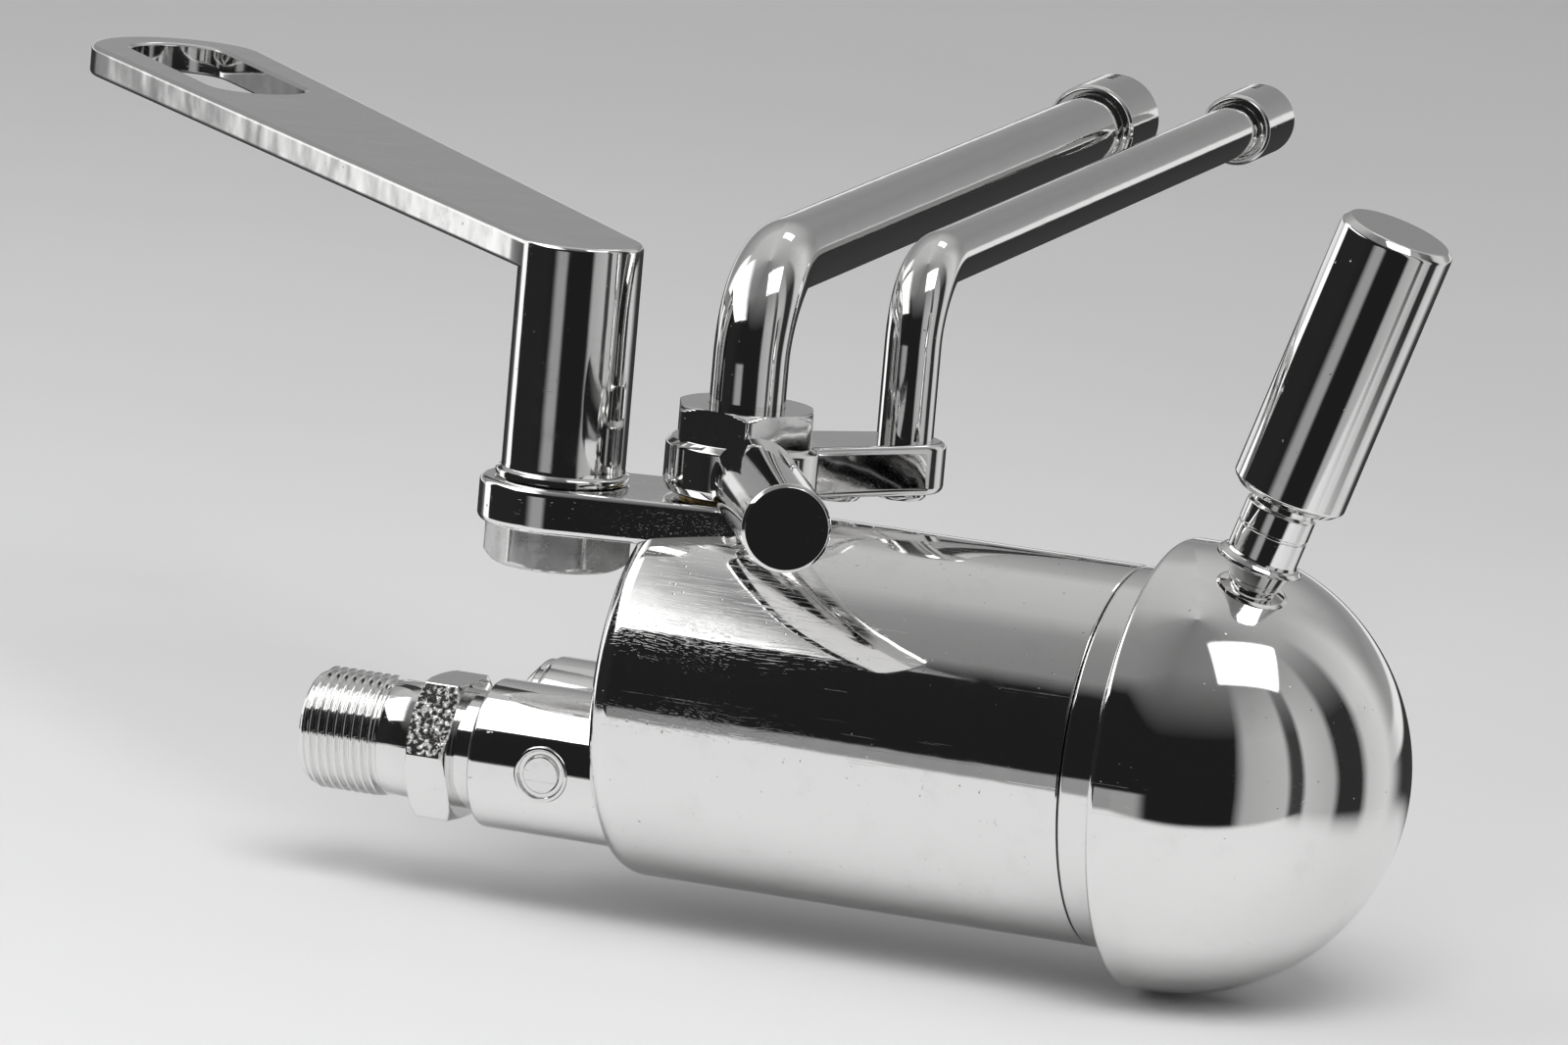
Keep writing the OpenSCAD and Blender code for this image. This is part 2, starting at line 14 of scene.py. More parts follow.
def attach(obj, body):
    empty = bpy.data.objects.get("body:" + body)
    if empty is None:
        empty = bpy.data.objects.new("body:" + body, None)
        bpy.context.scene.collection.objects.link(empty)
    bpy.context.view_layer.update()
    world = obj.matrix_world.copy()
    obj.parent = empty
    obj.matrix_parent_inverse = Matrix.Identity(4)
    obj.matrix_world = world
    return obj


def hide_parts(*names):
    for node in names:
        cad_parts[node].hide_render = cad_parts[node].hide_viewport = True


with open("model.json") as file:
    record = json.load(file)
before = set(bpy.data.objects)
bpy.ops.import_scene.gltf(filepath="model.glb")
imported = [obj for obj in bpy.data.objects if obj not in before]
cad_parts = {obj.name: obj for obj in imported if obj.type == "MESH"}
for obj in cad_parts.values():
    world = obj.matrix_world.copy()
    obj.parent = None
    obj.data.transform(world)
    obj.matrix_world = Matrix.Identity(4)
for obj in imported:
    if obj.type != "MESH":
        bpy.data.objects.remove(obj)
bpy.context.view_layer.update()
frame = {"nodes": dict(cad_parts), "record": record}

MM = 0.001
QUARTER = math.pi / 2
X = (1, 0, 0)
Z = (0, 0, 1)
ORIGIN = (0, 0, 0)

# The inlet is at y = -PORT and the blanked port at y = +PORT, both at z = -PORT.
PORT = 9.0
INLET_END = -46.0
INLET_AXIS = (0, -PORT, -PORT)
BLANK_AXIS = (0, PORT, -PORT)
ROW_OFFSET = Vector((-INLET_END, PORT, PORT))

BODY_R = 22.0
BODY_BACK = -8.7
BODY_FRONT = 49.1
BODY_ROUND = 3.0        # rounding of the back edge
LINER_R = 18.5          # wider front part of the barrel's bore
CAVITY_R = 17.6
PORT_BOSS_R = 8.7
PORT_BORE_R = 6.3
HUB_BORE_R = 5.5
POST_BORE_R = 4.2
SIDE_PLUG_X = -14.8

BALL_X = 56.6           # centre of the dome's ball
DOME_R = 26.0
LEVER_X = BALL_X - 1.3
LEVER_LEAN = math.radians(18.0)

POST = (-20.0, -5.0)    # axis shared by the bracket's post and the clamp bolt
POST_AXIS = (*POST, 0)
POST_R = 7.17
BOLT_R = 3.95

HUB_R = 9.0
SMALL_TUBE = (13.8, 16.2)
ARM_ANGLE = math.atan2(SMALL_TUBE[1], SMALL_TUBE[0])
ARM_REACH = math.hypot(*SMALL_TUBE)
ARM_PLUG_NEAR = 12.6    # distance of the nearer arm plug from the hub's axis
TUBE_TURN = math.radians(4.0)
TUBE_Z = 50             # axis of the tubes' level run
TUBE_RUN = 150          # from each tube's foot to its end
TUBE_EDGE = 0.12        # chamfer of the cut ends
ROD_ANGLE = math.radians(-62.0)
ROD_Z = 27.0

BODY_OF = {}
for body_name, node_names in frame["record"]["behaviour"]["bodies"].items():
    for node_name in node_names:
        BODY_OF[node_name] = body_name
SLOT_OF = {sub["node"]: sub["material_slot"] for sub in frame["record"]["subparts"]}


# ---------------------------------------------------------------- placing
# Each placement maps a piece's local point to the layout frame; turned pieces have local z as axis.
def to_row(point):
    return (Vector(point) + ROW_OFFSET) * MM


def along_x(y=0.0, z=0.0):
    return lambda p: (p.z, p.x + y, p.y + z)


def along_y(x, z):
    return lambda p: (p.y + x, p.z, p.x + z)


def along_z(x=0.0, y=0.0):
    return lambda p: (p.x + x, p.y + y, p.z)


def out_along(angle, height):
    """Local z runs outwards from the hub's axis along a horizontal direction."""
    c, s = math.cos(angle), math.sin(angle)
    return lambda p: (p.z * c - p.x * s, p.z * s + p.x * c, p.y + height)


def on_lever(point):
    lean = Matrix.Rotation(LEVER_LEAN, 3, "Y")
    return lean @ Vector(point) + Vector((LEVER_X, 0, 0))


at_inlet = along_x(-PORT, -PORT)
at_blank = along_x(PORT, -PORT)
at_post = along_z(*POST)


# ---------------------------------------------------------------- outlines
def fillet(points, closed=True, steps=6):
    """Rounds the corners of a polyline of (a, b) or (a, b, radius) points."""
    out = []
    count = len(points)
    for i, point in enumerate(points):
        radius = point[2] if len(point) > 2 else 0.0
        if radius <= 0 or (not closed and i in (0, count - 1)):
            out.append(point[:2])
            continue
        corner = Vector(point[:2])
        back = Vector(points[i - 1][:2]) - corner
        ahead = Vector(points[(i + 1) % count][:2]) - corner
        back_length, ahead_length = back.length, ahead.length
        back.normalize()
        ahead.normalize()
        angle = math.acos(max(-1, min(1, back.dot(ahead))))
        if angle > math.pi - 1e-3 or angle < 1e-3:
            out.append(point[:2])
            continue
        # a short side limits the trim, and with it the radius
        trim = min(radius / math.tan(angle / 2), 0.48 * back_length, 0.48 * ahead_length)
        radius = trim * math.tan(angle / 2)
        centre = corner + (back + ahead).normalized() * (radius / math.sin(angle / 2))
        start = corner + back * trim - centre
        end = corner + ahead * trim - centre
        sweep = math.atan2(start.x * end.y - start.y * end.x, start.dot(end))
        for k in range(steps + 1):
            c, s = math.cos(sweep * k / steps), math.sin(sweep * k / steps)
            spoke = Vector((start.x * c - start.y * s, start.x * s + start.y * c))
            out.append((centre.x + spoke.x, centre.y + spoke.y))
    return out


def support(points, closed):
    """Adds a point close to each end of a long straight run, so shading stays flat across it."""
    near, least = 0.12, 0.7
    out = []
    for i, point in enumerate(points):
        out.append(point)
        if not closed and i == len(points) - 1:
            break
        a, b = Vector(point), Vector(points[(i + 1) % len(points)])
        length = (b - a).length
        if length > least:
            out.append(tuple(a.lerp(b, near / length)))
            out.append(tuple(a.lerp(b, 1 - near / length)))
    return out


def round_corner(radius, z, size, steps):
    """Profile points of a quarter circle about (radius, z), from its low z side to its outside."""
    angles = [QUARTER * k / steps for k in range(steps + 1)]
    return [(radius + size * math.sin(a), z - size * math.cos(a)) for a in angles]


def pill(p1, r1, p2, r2, inset=0.0, steps=40, flats=14):
    """Closed outline round two circles, shrunk by inset. Equal steps and flats give points
    that match."""
    r1, r2 = r1 - inset, r2 - inset
    p1, p2 = Vector(p1), Vector(p2)
    between = p2 - p1
    heading = math.atan2(between.y, between.x)
    spread = math.acos(max(-1, min(1, (r1 - r2) / between.length)))

    def straight(a, b):
        return [a.lerp(b, (k + 1) / (flats + 1)) for k in range(flats)]

    out = []
    for i in range(steps + 1):
        t = heading + spread + (2 * math.pi - 2 * spread) * i / steps
        out.append(p1 + r1 * Vector((math.cos(t), math.sin(t))))
    t = heading - spread
    out += straight(out[-1], p2 + r2 * Vector((math.cos(t), math.sin(t))))
    for i in range(steps + 1):
        t = heading - spread + 2 * spread * i / steps
        out.append(p2 + r2 * Vector((math.cos(t), math.sin(t))))
    return out + straight(out[-1], out[0])


def hex_loop(across, corner=0.35, flats=14, turn=0.0):
    """Hexagon outline with rounded corners and extra points along its flats."""
    radius = across / 2 / math.cos(math.pi / 6)
    angles = [turn + k * math.pi / 3 for k in range(6)]
    rounded = fillet([(radius * math.cos(a), radius * math.sin(a), corner) for a in angles],
                     True, 5)
    out = []
    for i, point in enumerate(rounded):
        out.append(point)
        a, b = Vector(point), Vector(rounded[(i + 1) % len(rounded)])
        if (b - a).length > 1.0:
            out += [tuple(a.lerp(b, (k + 1) / (flats + 1))) for k in range(flats)]
    return out


# ---------------------------------------------------------------- meshes
def link(name, data):
    obj = bpy.data.objects.new(name, data)
    bpy.context.scene.collection.objects.link(obj)
    return obj


def link_mesh(name, bm):
    mesh = bpy.data.meshes.new(name)
    bm.to_mesh(mesh)
    bm.free()
    return link(name, mesh)


def finish_mesh(name, bm, place=None, sharp=40.0):
    """Places a mesh, moves it into the row's frame and marks edges over sharp degrees."""
    for v in bm.verts:
        v.co = to_row(Vector(place(v.co)) if place else v.co)
    bmesh.ops.recalc_face_normals(bm, faces=bm.faces)
    limit = math.radians(sharp)
    for f in bm.faces:
        f.smooth = True
    for e in bm.edges:
        if len(e.link_faces) == 2 and e.calc_face_angle(0) > limit:
            e.smooth = False
    return link_mesh(name, bm)


def new_ring(bm, radii, z):
    """Ring of vertices about local z, one for each radius."""
    count = len(radii)
    return [bm.verts.new((r * math.cos(2 * math.pi * k / count),
                          r * math.sin(2 * math.pi * k / count), z))
            for k, r in enumerate(radii)]


def bridge(bm, rings, count, closed):
    """Joins rings of count vertices; a ring of one vertex is a pole."""
    for i in range(len(rings) if closed else len(rings) - 1):
        a, b = rings[i], rings[(i + 1) % len(rings)]
        for k in range(count):
            l = (k + 1) % count
            if len(a) == 1:
                bm.faces.new((a[0], b[k], b[l]))
            elif len(b) == 1:
                bm.faces.new((a[k], b[0], a[l]))
            else:
                bm.faces.new((a[k], b[k], b[l], a[l]))


def lathe(name, points, place=None, count=144, closed=False):
    """Solid of revolution about local z from (radius, z) points."""
    bm = bmesh.new()
    rings = []
    for r, z in points:
        rings.append([bm.verts.new((0, 0, z))] if r < 1e-5 else new_ring(bm, [r] * count, z))
    bridge(bm, rings, count, closed)
    return finish_mesh(name, bm, place)


def turned(name, points, place=None, count=144, closed=False):
    """Solid of revolution from (radius, z, rounding) points; the rounding may be left out."""
    return lathe(name, support(fillet(points, closed), closed), place, count, closed)


def cylinder(place, start, end, radius, count=96):
    return lathe("cylinder", [(0, start), (radius, start), (radius, end), (0, end)], place, count)


def loft(loops, wrap=False):
    """Skin over matching loops, capped at both ends unless it wraps round."""
    bm = bmesh.new()
    rings = [[bm.verts.new(p) for p in loop] for loop in loops]
    for i in range(len(rings) if wrap else len(rings) - 1):
        a, b = rings[i], rings[(i + 1) % len(rings)]
        for k in range(len(a)):
            l = (k + 1) % len(a)
            bm.faces.new((a[k], a[l], b[l], b[k]))
    if not wrap:
        bm.faces.new(list(reversed(rings[0])))
        bm.faces.new(rings[-1])
    return bm


def plate(outline, z0, z1, round_top, round_bottom, steps=6):
    """Flat plate with rounded edges; outline(inset) gives its edge."""
    levels = [(round_bottom + 0.25, z0), (round_bottom, z0)]
    for k in range(1, steps + 1):
        a = QUARTER * k / steps
        levels.append((round_bottom * (1 - math.sin(a)), z0 + round_bottom * (1 - math.cos(a))))
    levels += [(0, z0 + round_bottom + 0.12), (0, z1 - round_top - 0.12)]
    for k in range(steps + 1):
        a = QUARTER * k / steps
        levels.append((round_top * (1 - math.cos(a)), z1 - round_top * (1 - math.sin(a))))
    levels.append((round_top + 0.25, z1))
    return loft([[(p.x, p.y, z) for p in outline(inset)] for inset, z in levels])


def hex_prism(across, ends, chamfers, faces, turn=0.0, corner=0.35):
    """Hexagon with turned chamfers. ends, chamfers and faces hold the z, the chamfer height and
    the radius of the flat face at each end."""
    (z0, z1), (chamfer0, chamfer1), (face0, face1) = ends, chamfers, faces
    widest = across / 2 / math.cos(math.pi / 6)

    def cone(face, k):
        return face + (widest - face) * (k / 10) ** 0.8

    levels = [(z0, face0 - 0.3), (z0, face0)]       # (z, largest radius)
    levels += [(z0 + chamfer0 * k / 10, cone(face0, k)) for k in range(1, 11)]
    levels += [(z0 + chamfer0 + 0.1, widest + 1), (z1 - chamfer1 - 0.1, widest + 1)]
    levels += [(z1 - chamfer1 * k / 10, cone(face1, k)) for k in range(10, 0, -1)]
    levels += [(z1, face1), (z1, face1 - 0.3)]
    loops = []
    for z, limit in levels:
        loop = []
        for x, y in hex_loop(across, corner, turn=turn):
            scale = min(1.0, limit / math.hypot(x, y))
            loop.append((x * scale, y * scale, z))
        loops.append(loop)
    return loft(loops)


def boolean(target, tool, operation):
    """Applies a boolean and deletes the tool."""
    modifier = target.modifiers.new("b", "BOOLEAN")
    modifier.operation = operation
    modifier.solver = "EXACT"
    modifier.object = tool
    graph = bpy.context.evaluated_depsgraph_get()
    result = bpy.data.meshes.new_from_object(target.evaluated_get(graph))
    target.modifiers.remove(modifier)
    old = target.data
    target.data = result
    bpy.data.meshes.remove(old)
    tool_mesh = tool.data
    bpy.data.objects.remove(tool)
    bpy.data.meshes.remove(tool_mesh)


def drill(target, holes):
    """Cuts cylinders given as (placement, start, end, radius, segments)."""
    for hole in holes:
        boolean(target, cylinder(*hole), "DIFFERENCE")


# ---------------------------------------------------------------- exact normals
def cylinder_normal(point, normal, centre, axis, radius):
    """Exact normal of a cylinder, or None off it; a negative radius means a bore."""
    rel = point - Vector(centre)
    axis = Vector(axis)
    radial = rel - axis * rel.dot(axis)
    if abs(radial.length - abs(radius)) > 0.03 or abs(normal.dot(axis)) > 0.06:
        return None
    out = radial.normalized() * (1 if radius > 0 else -1)
    return out if normal.dot(out) > 0.96 else None


def exact(obj, flats="", cylinders=(), special=None, sharp=30.0):
    """Welds a boolean's result, marks its sharp edges and sets exact normals: the face's own
    where it is square to an axis in flats, else from special, else from a (centre, axis, radius)
    cylinder."""
    mesh = obj.data
    bm = bmesh.new()
    bm.from_mesh(mesh)
    bmesh.ops.remove_doubles(bm, verts=bm.verts, dist=3e-7)
    bmesh.ops.dissolve_degenerate(bm, edges=bm.edges, dist=2e-7)
    for f in bm.faces:
        f.smooth = True
    for e in bm.edges:
        e.smooth = not (len(e.link_faces) == 2 and e.calc_face_angle(0) > math.radians(sharp))
    bm.to_mesh(mesh)
    bm.free()

    def true_normal(point, normal, middle):
        if any(abs(getattr(normal, axis)) > 0.9995 for axis in flats):
            return normal.copy()
        found = special(point, normal, middle) if special else None
        for shape in cylinders:
            if found is not None:
                break
            found = cylinder_normal(point, normal, *shape)
        return found

    normals = [Vector(c.vector) for c in mesh.corner_normals]
    for face in mesh.polygons:
        middle = face.center / MM - ROW_OFFSET
        for corner in face.loop_indices:
            point = mesh.vertices[mesh.loops[corner].vertex_index].co / MM - ROW_OFFSET
            found = true_normal(point, face.normal, middle)
            if found is not None:
                normals[corner] = found
    mesh.normals_split_custom_set(normals)


# ---------------------------------------------------------------- shader helpers
class Nodes:
    """Adds and links shader nodes in a tree."""

    def __init__(self, tree):
        self.tree = tree

    def fill(self, node, inputs):
        for key, value in inputs.items():
            if isinstance(value, bpy.types.NodeSocket):
                self.tree.links.new(value, node.inputs[key])
            else:
                node.inputs[key].default_value = value

    def add(self, kind, inputs=None, **settings):
        node = self.tree.nodes.new("ShaderNode" + kind)
        for key, value in settings.items():
            setattr(node, key, value)
        self.fill(node, inputs or {})
        return node

    def math(self, operation, *values, clamp=False):
        inputs = dict(enumerate(values))
        return self.add("Math", inputs, operation=operation, use_clamp=clamp).outputs[0]

    def chain(self, operation, first, *rest):
        for value in rest:
            first = self.math(operation, first, value)
        return first

    def plus(self, *terms):
        return self.chain("ADD", *terms)

    def times(self, *factors):
        return self.chain("MULTIPLY", *factors)

    def dot(self, a, b):
        return self.add("VectorMath", {0: a, 1: b}, operation="DOT_PRODUCT").outputs["Value"]

    def span(self, value, low, high, to_low=0.0, to_high=1.0, smooth=True):
        """Maps low..high to to_low..to_high, held beyond both ends."""
        inputs = {"Value": value, "From Min": low, "From Max": high,
                  "To Min": to_low, "To Max": to_high}
        kind = "SMOOTHSTEP" if smooth else "LINEAR"
        return self.add("MapRange", inputs, clamp=True, interpolation_type=kind).outputs[0]

    def mix(self, factor, a, b):
        return self.add("Mix", {0: factor, 2: a, 3: b}, data_type="FLOAT").outputs[0]

    def mix_colour(self, factor, a, b):
        return self.add("Mix", {0: factor, 6: a, 7: b}, data_type="RGBA").outputs[2]

    def noise(self, coords, scale, detail=3.0, rough=0.5):
        inputs = {"Vector": coords, "Scale": scale, "Detail": detail, "Roughness": rough}
        return self.add("TexNoise", inputs).outputs["Fac"]

    def stretched(self, coords, turn, scale):
        inputs = {"Vector": coords, "Rotation": turn, "Scale": scale}
        return self.add("Mapping", inputs).outputs[0]

    def streaks(self, coords, directions, stretch, low, high):
        """Fine lines: noise drawn out along each (rotation, density)."""
        lines = []
        for turn, density in directions:
            drawn = self.stretched(coords, turn, (stretch, density, density))
            lines.append(self.span(self.noise(drawn, 1.0, detail=2), low, high))
        return self.chain("MAXIMUM", *lines)

    def ramp(self, value, stops):
        """Piecewise grey over value, from (position, level) stops."""
        low, high = stops[0][0], stops[-1][0]
        node = self.add("ValToRGB", {"Fac": self.span(value, low, high, smooth=False)})
        elements = node.color_ramp.elements
        elements.remove(elements[-1])
        for i, (position, grey) in enumerate(stops):
            stop = elements.new((position - low) / (high - low)) if i else elements[0]
            stop.color = (grey, grey, grey, 1)
        return node.outputs["Color"]


def start_material(name):
    """New material, its nodes, its Principled shader and object coordinates in millimetres."""
    material = bpy.data.materials.new(name)
    material.use_nodes = True
    nodes = Nodes(material.node_tree)
    shader = material.node_tree.nodes["Principled BSDF"]
    coords = nodes.add("TexCoord").outputs["Object"]
    return material, nodes, shader, nodes.stretched(coords, (0, 0, 0), (1000, 1000, 1000))


def set_surface(nodes, shader, colour, rough, metallic, height):
    """Fills the shader; height is relief in millimetres."""
    bump = nodes.add("Bump", {"Height": height, "Strength": 1.0, "Distance": 0.001})
    nodes.fill(shader, {"Base Color": colour, "Roughness": rough, "Metallic": metallic,
                        "Normal": bump.outputs[0]})


# ---------------------------------------------------------------- materials
# (rotation, density) of the hairlines, and of the finer ones in a wiped area
HAIRLINES = (((0.3, 0.2, 0.5), 4.0), ((1.2, 0.4, 2.1), 3.0), ((0.7, 1.5, 1.1), 5.0))
WIPE_LINES = (((0.9, 0.35, 0.4), 3.6), ((0.5, 0.9, -0.5), 4.4), ((1.4, 0.1, 1.0), 5.2))


def wipe_marks(nodes, mm, centre, reach):
    """Curved hairlines, thick near centre (row frame, mm) and fading outwards to reach."""
    rel = nodes.add("VectorMath", {0: mm, 1: tuple(-c for c in centre)},
                    operation="ADD").outputs[0]
    distance = nodes.add("VectorMath", {0: rel}, operation="LENGTH").outputs["Value"]
    bend = nodes.add("TexNoise", {"Vector": mm, "Scale": 0.05, "Detail": 1.0}).outputs["Color"]
    bent = nodes.add("VectorMath", {0: rel, 1: bend, 2: rel},
                     operation="MULTIPLY_ADD").outputs[0]
    lines = nodes.streaks(bent, WIPE_LINES, stretch=0.06, low=0.60, high=0.72)
    return nodes.times(lines, nodes.span(distance, reach * 0.3, reach, 1, 0))


def chrome(name, rough, tone, wave, scratches, specks, dull=0.0, wiped=None):
    """Bright plating: slight waviness, hairlines, tiny nicks and a faint film of handling marks."""
    material, nodes, shader, mm = start_material(name)
    film = nodes.noise(mm, scale=0.06, detail=4, rough=0.6)
    smudge = nodes.span(nodes.noise(mm, scale=0.22, detail=5, rough=0.65), 0.52, 0.75)
    hair = nodes.streaks(mm, HAIRLINES, stretch=0.035, low=0.715 - 0.02 * scratches, high=0.76)
    # hairlines come in patches
    hair = nodes.times(hair, nodes.span(nodes.noise(mm, scale=0.09, detail=2), 0.42, 0.62))
    if wiped:
        hair = nodes.math("MAXIMUM", hair, wipe_marks(nodes, mm, **wiped))
    nick = nodes.span(nodes.noise(mm, scale=1.6, detail=1, rough=0.4), 0.80 - 0.06 * specks, 0.86)

    gloss = nodes.plus(nodes.times(film, 0.03), rough - 0.012)
    gloss = nodes.plus(gloss, nodes.times(smudge, 0.05 + dull))
    gloss = nodes.plus(gloss, nodes.times(hair, 0.08 * scratches))
    gloss = nodes.math("ADD", gloss, nodes.times(nick, 0.2), clamp=True)

    clean = (tone, tone * 0.996, tone * 0.99, 1)
    smudged = (tone * 0.95, tone * 0.945, tone * 0.938, 1)
    nicked = (0.45, 0.44, 0.43, 1)
    colour = nodes.mix_colour(nick, nodes.mix_colour(smudge, clean, smudged), nicked)

    swell = nodes.noise(mm, scale=0.11, detail=2, rough=0.4)
    grain = nodes.noise(mm, scale=1.1)
    height = nodes.plus(nodes.times(swell, 0.10 * wave), nodes.times(grain, 0.0016 * wave))
    height = nodes.chain("SUBTRACT", height, nodes.times(hair, 0.0025 * scratches),
                         nodes.times(nick, 0.02))
    set_surface(nodes, shader, colour, gloss, 1.0, height)
    return material


def crackled(name):
    """Plating over an unpolished facet: bright, but deeply pitted."""
    material, nodes, shader, mm = start_material(name)
    pit = nodes.noise(mm, scale=1.55, rough=0.6)
    fine = nodes.noise(mm, scale=4.0, detail=2)
    pit_colour, plate_colour = (0.055, 0.053, 0.05, 1), (0.88, 0.875, 0.865, 1)
    colour = nodes.mix_colour(nodes.span(pit, 0.47, 0.53), pit_colour, plate_colour)
    rough = nodes.plus(nodes.times(fine, 0.2), 0.1)
    height = nodes.plus(nodes.times(nodes.span(pit, 0.35, 0.65), 0.28), nodes.times(fine, 0.05))
    set_surface(nodes, shader, colour, rough, 1.0, height)
    return material


def mottled(name, colour, dark, rough, metallic, grain, depth, mottle, tooling=0.0):
    """Mottled colour, uneven gloss, fine grain, and tool marks where tooling is set."""
    material, nodes, shader, mm = start_material(name)
    big = nodes.noise(mm, scale=0.25, detail=4, rough=0.6)
    fine = nodes.noise(mm, scale=3.0 * grain, detail=4, rough=0.6)
    blend = nodes.times(nodes.span(big, 0.4, 0.7), mottle)
    shade = nodes.mix_colour(blend, colour + (1,), dark + (1,))
    uneven = nodes.plus(nodes.times(big, 0.18), nodes.times(fine, 0.12))
    gloss = nodes.math("ADD", uneven, rough - 0.15, clamp=True)
    height = nodes.times(fine, depth)
    if tooling:
        lines = nodes.stretched(mm, (0, 0, 0), (7, 0.15, 0.15))
        height = nodes.plus(height, nodes.times(nodes.noise(lines, 1.0, detail=2), tooling))
    set_surface(nodes, shader, shade, gloss, metallic, height)
    return material


# finish: roughness, brightness, waviness, scratches, nicks, extra roughness of smudges
CHROME_LOOKS = {
    "barrel": (0.038, 0.84, 0.55, 1.5, 1.0, 0.02, {"centre": (50.0, -6.0, 24.0), "reach": 26.0}),
    "dome": (0.028, 0.85, 0.35, 0.5, 0.5),
    "ring": (0.04, 0.84, 0.3, 0.7, 0.4),
    "lever": (0.032, 0.85, 0.2, 0.5, 0.3),
    "tube": (0.05, 0.83, 0.6, 0.7, 0.5, 0.03),
    "hub": (0.05, 0.83, 0.8, 0.8, 0.6, 0.03),
    "nut": (0.055, 0.83, 0.9, 0.9, 0.8, 0.04),
    # the bolt's brightness of 0.93, above the rest of the plating, is painted reflection: a lighter
    # base colour that stands for a white surface below it; its higher roughness is its real finish
    "bolt": (0.27, 0.93, 2.0, 0.9, 1.2, 0.08),
    "bracket": (0.06, 0.82, 0.8, 0.9, 0.7, 0.04),
}
# material: colour, darker colour, roughness, metallic, grain fineness, grain depth in mm,
# mottling, depth of tool marks in mm
MOTTLED_LOOKS = {
    "brass": ((0.80, 0.60, 0.28), (0.58, 0.40, 0.17), 0.26, 1.0, 1.5, 0.004, 0.6, 0.006),
    "steel": ((0.62, 0.62, 0.61), (0.42, 0.42, 0.42), 0.28, 1.0, 2.0, 0.004, 0.5, 0.004),
    "rubber": ((0.018, 0.018, 0.019), (0.035, 0.034, 0.033), 0.6, 0.0, 1.2, 0.012, 0.8),
    "ceramic": ((0.86, 0.86, 0.87), (0.74, 0.75, 0.78), 0.22, 0.0, 0.7, 0.002, 0.4),
    "white_plastic": ((0.82, 0.82, 0.79), (0.72, 0.71, 0.67), 0.42, 0.0, 0.9, 0.006, 0.5),
    "dark_plastic": ((0.05, 0.055, 0.062), (0.09, 0.095, 0.10), 0.45, 0.0, 0.9, 0.006, 0.6),
    "fibre": ((0.36, 0.10, 0.06), (0.25, 0.07, 0.045), 0.75, 0.0, 2.0, 0.02, 0.8),
}
CHROME = {key: chrome("chrome_" + key, *look) for key, look in CHROME_LOOKS.items()}
ROUGH_FACET = crackled("chrome_rough_facet")
SLOTS = {"chrome": chrome("chrome", rough=0.05, tone=0.83, wave=0.5, scratches=0.7, specks=0.5)}
for key, look in MOTTLED_LOOKS.items():
    SLOTS[key] = mottled(key, *look)

for node_name, slot_name in SLOT_OF.items():
    obj = frame["nodes"][node_name]
    if obj.material_slots:
        for slot in obj.material_slots:
            slot.material = SLOTS[slot_name]
    else:
        obj.data.materials.append(SLOTS[slot_name])


def register(obj, node):
    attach(obj, BODY_OF[node])
    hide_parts(node)


def keep(obj, node, finish):
    """Gives a piece its chrome finish and lets it stand in for a CAD node."""
    obj.data.materials.clear()
    obj.data.materials.append(CHROME[finish])
    register(obj, node)


# ---------------------------------------------------------------- valve body
def body_edge_normal(point, normal, middle):
    """Normal of the rounded edge round the barrel's back."""
    inner_r = BODY_R - BODY_ROUND
    radial = Vector((0, point.y, point.z))
    if not BODY_BACK < middle.x < BODY_BACK + BODY_ROUND + 0.001:
        return None
    if radial.length <= inner_r - 0.01 or Vector((0, middle.y, middle.z)).length <= inner_r:
        return None
    spoke = Vector((point.x - BODY_BACK - BODY_ROUND, 0, 0))
    spoke += radial.normalized() * (radial.length - BODY_R + BODY_ROUND)
    if abs(spoke.length - BODY_ROUND) < 0.03 and normal.dot(spoke.normalized()) > 0.9:
        return spoke.normalized()
    return None


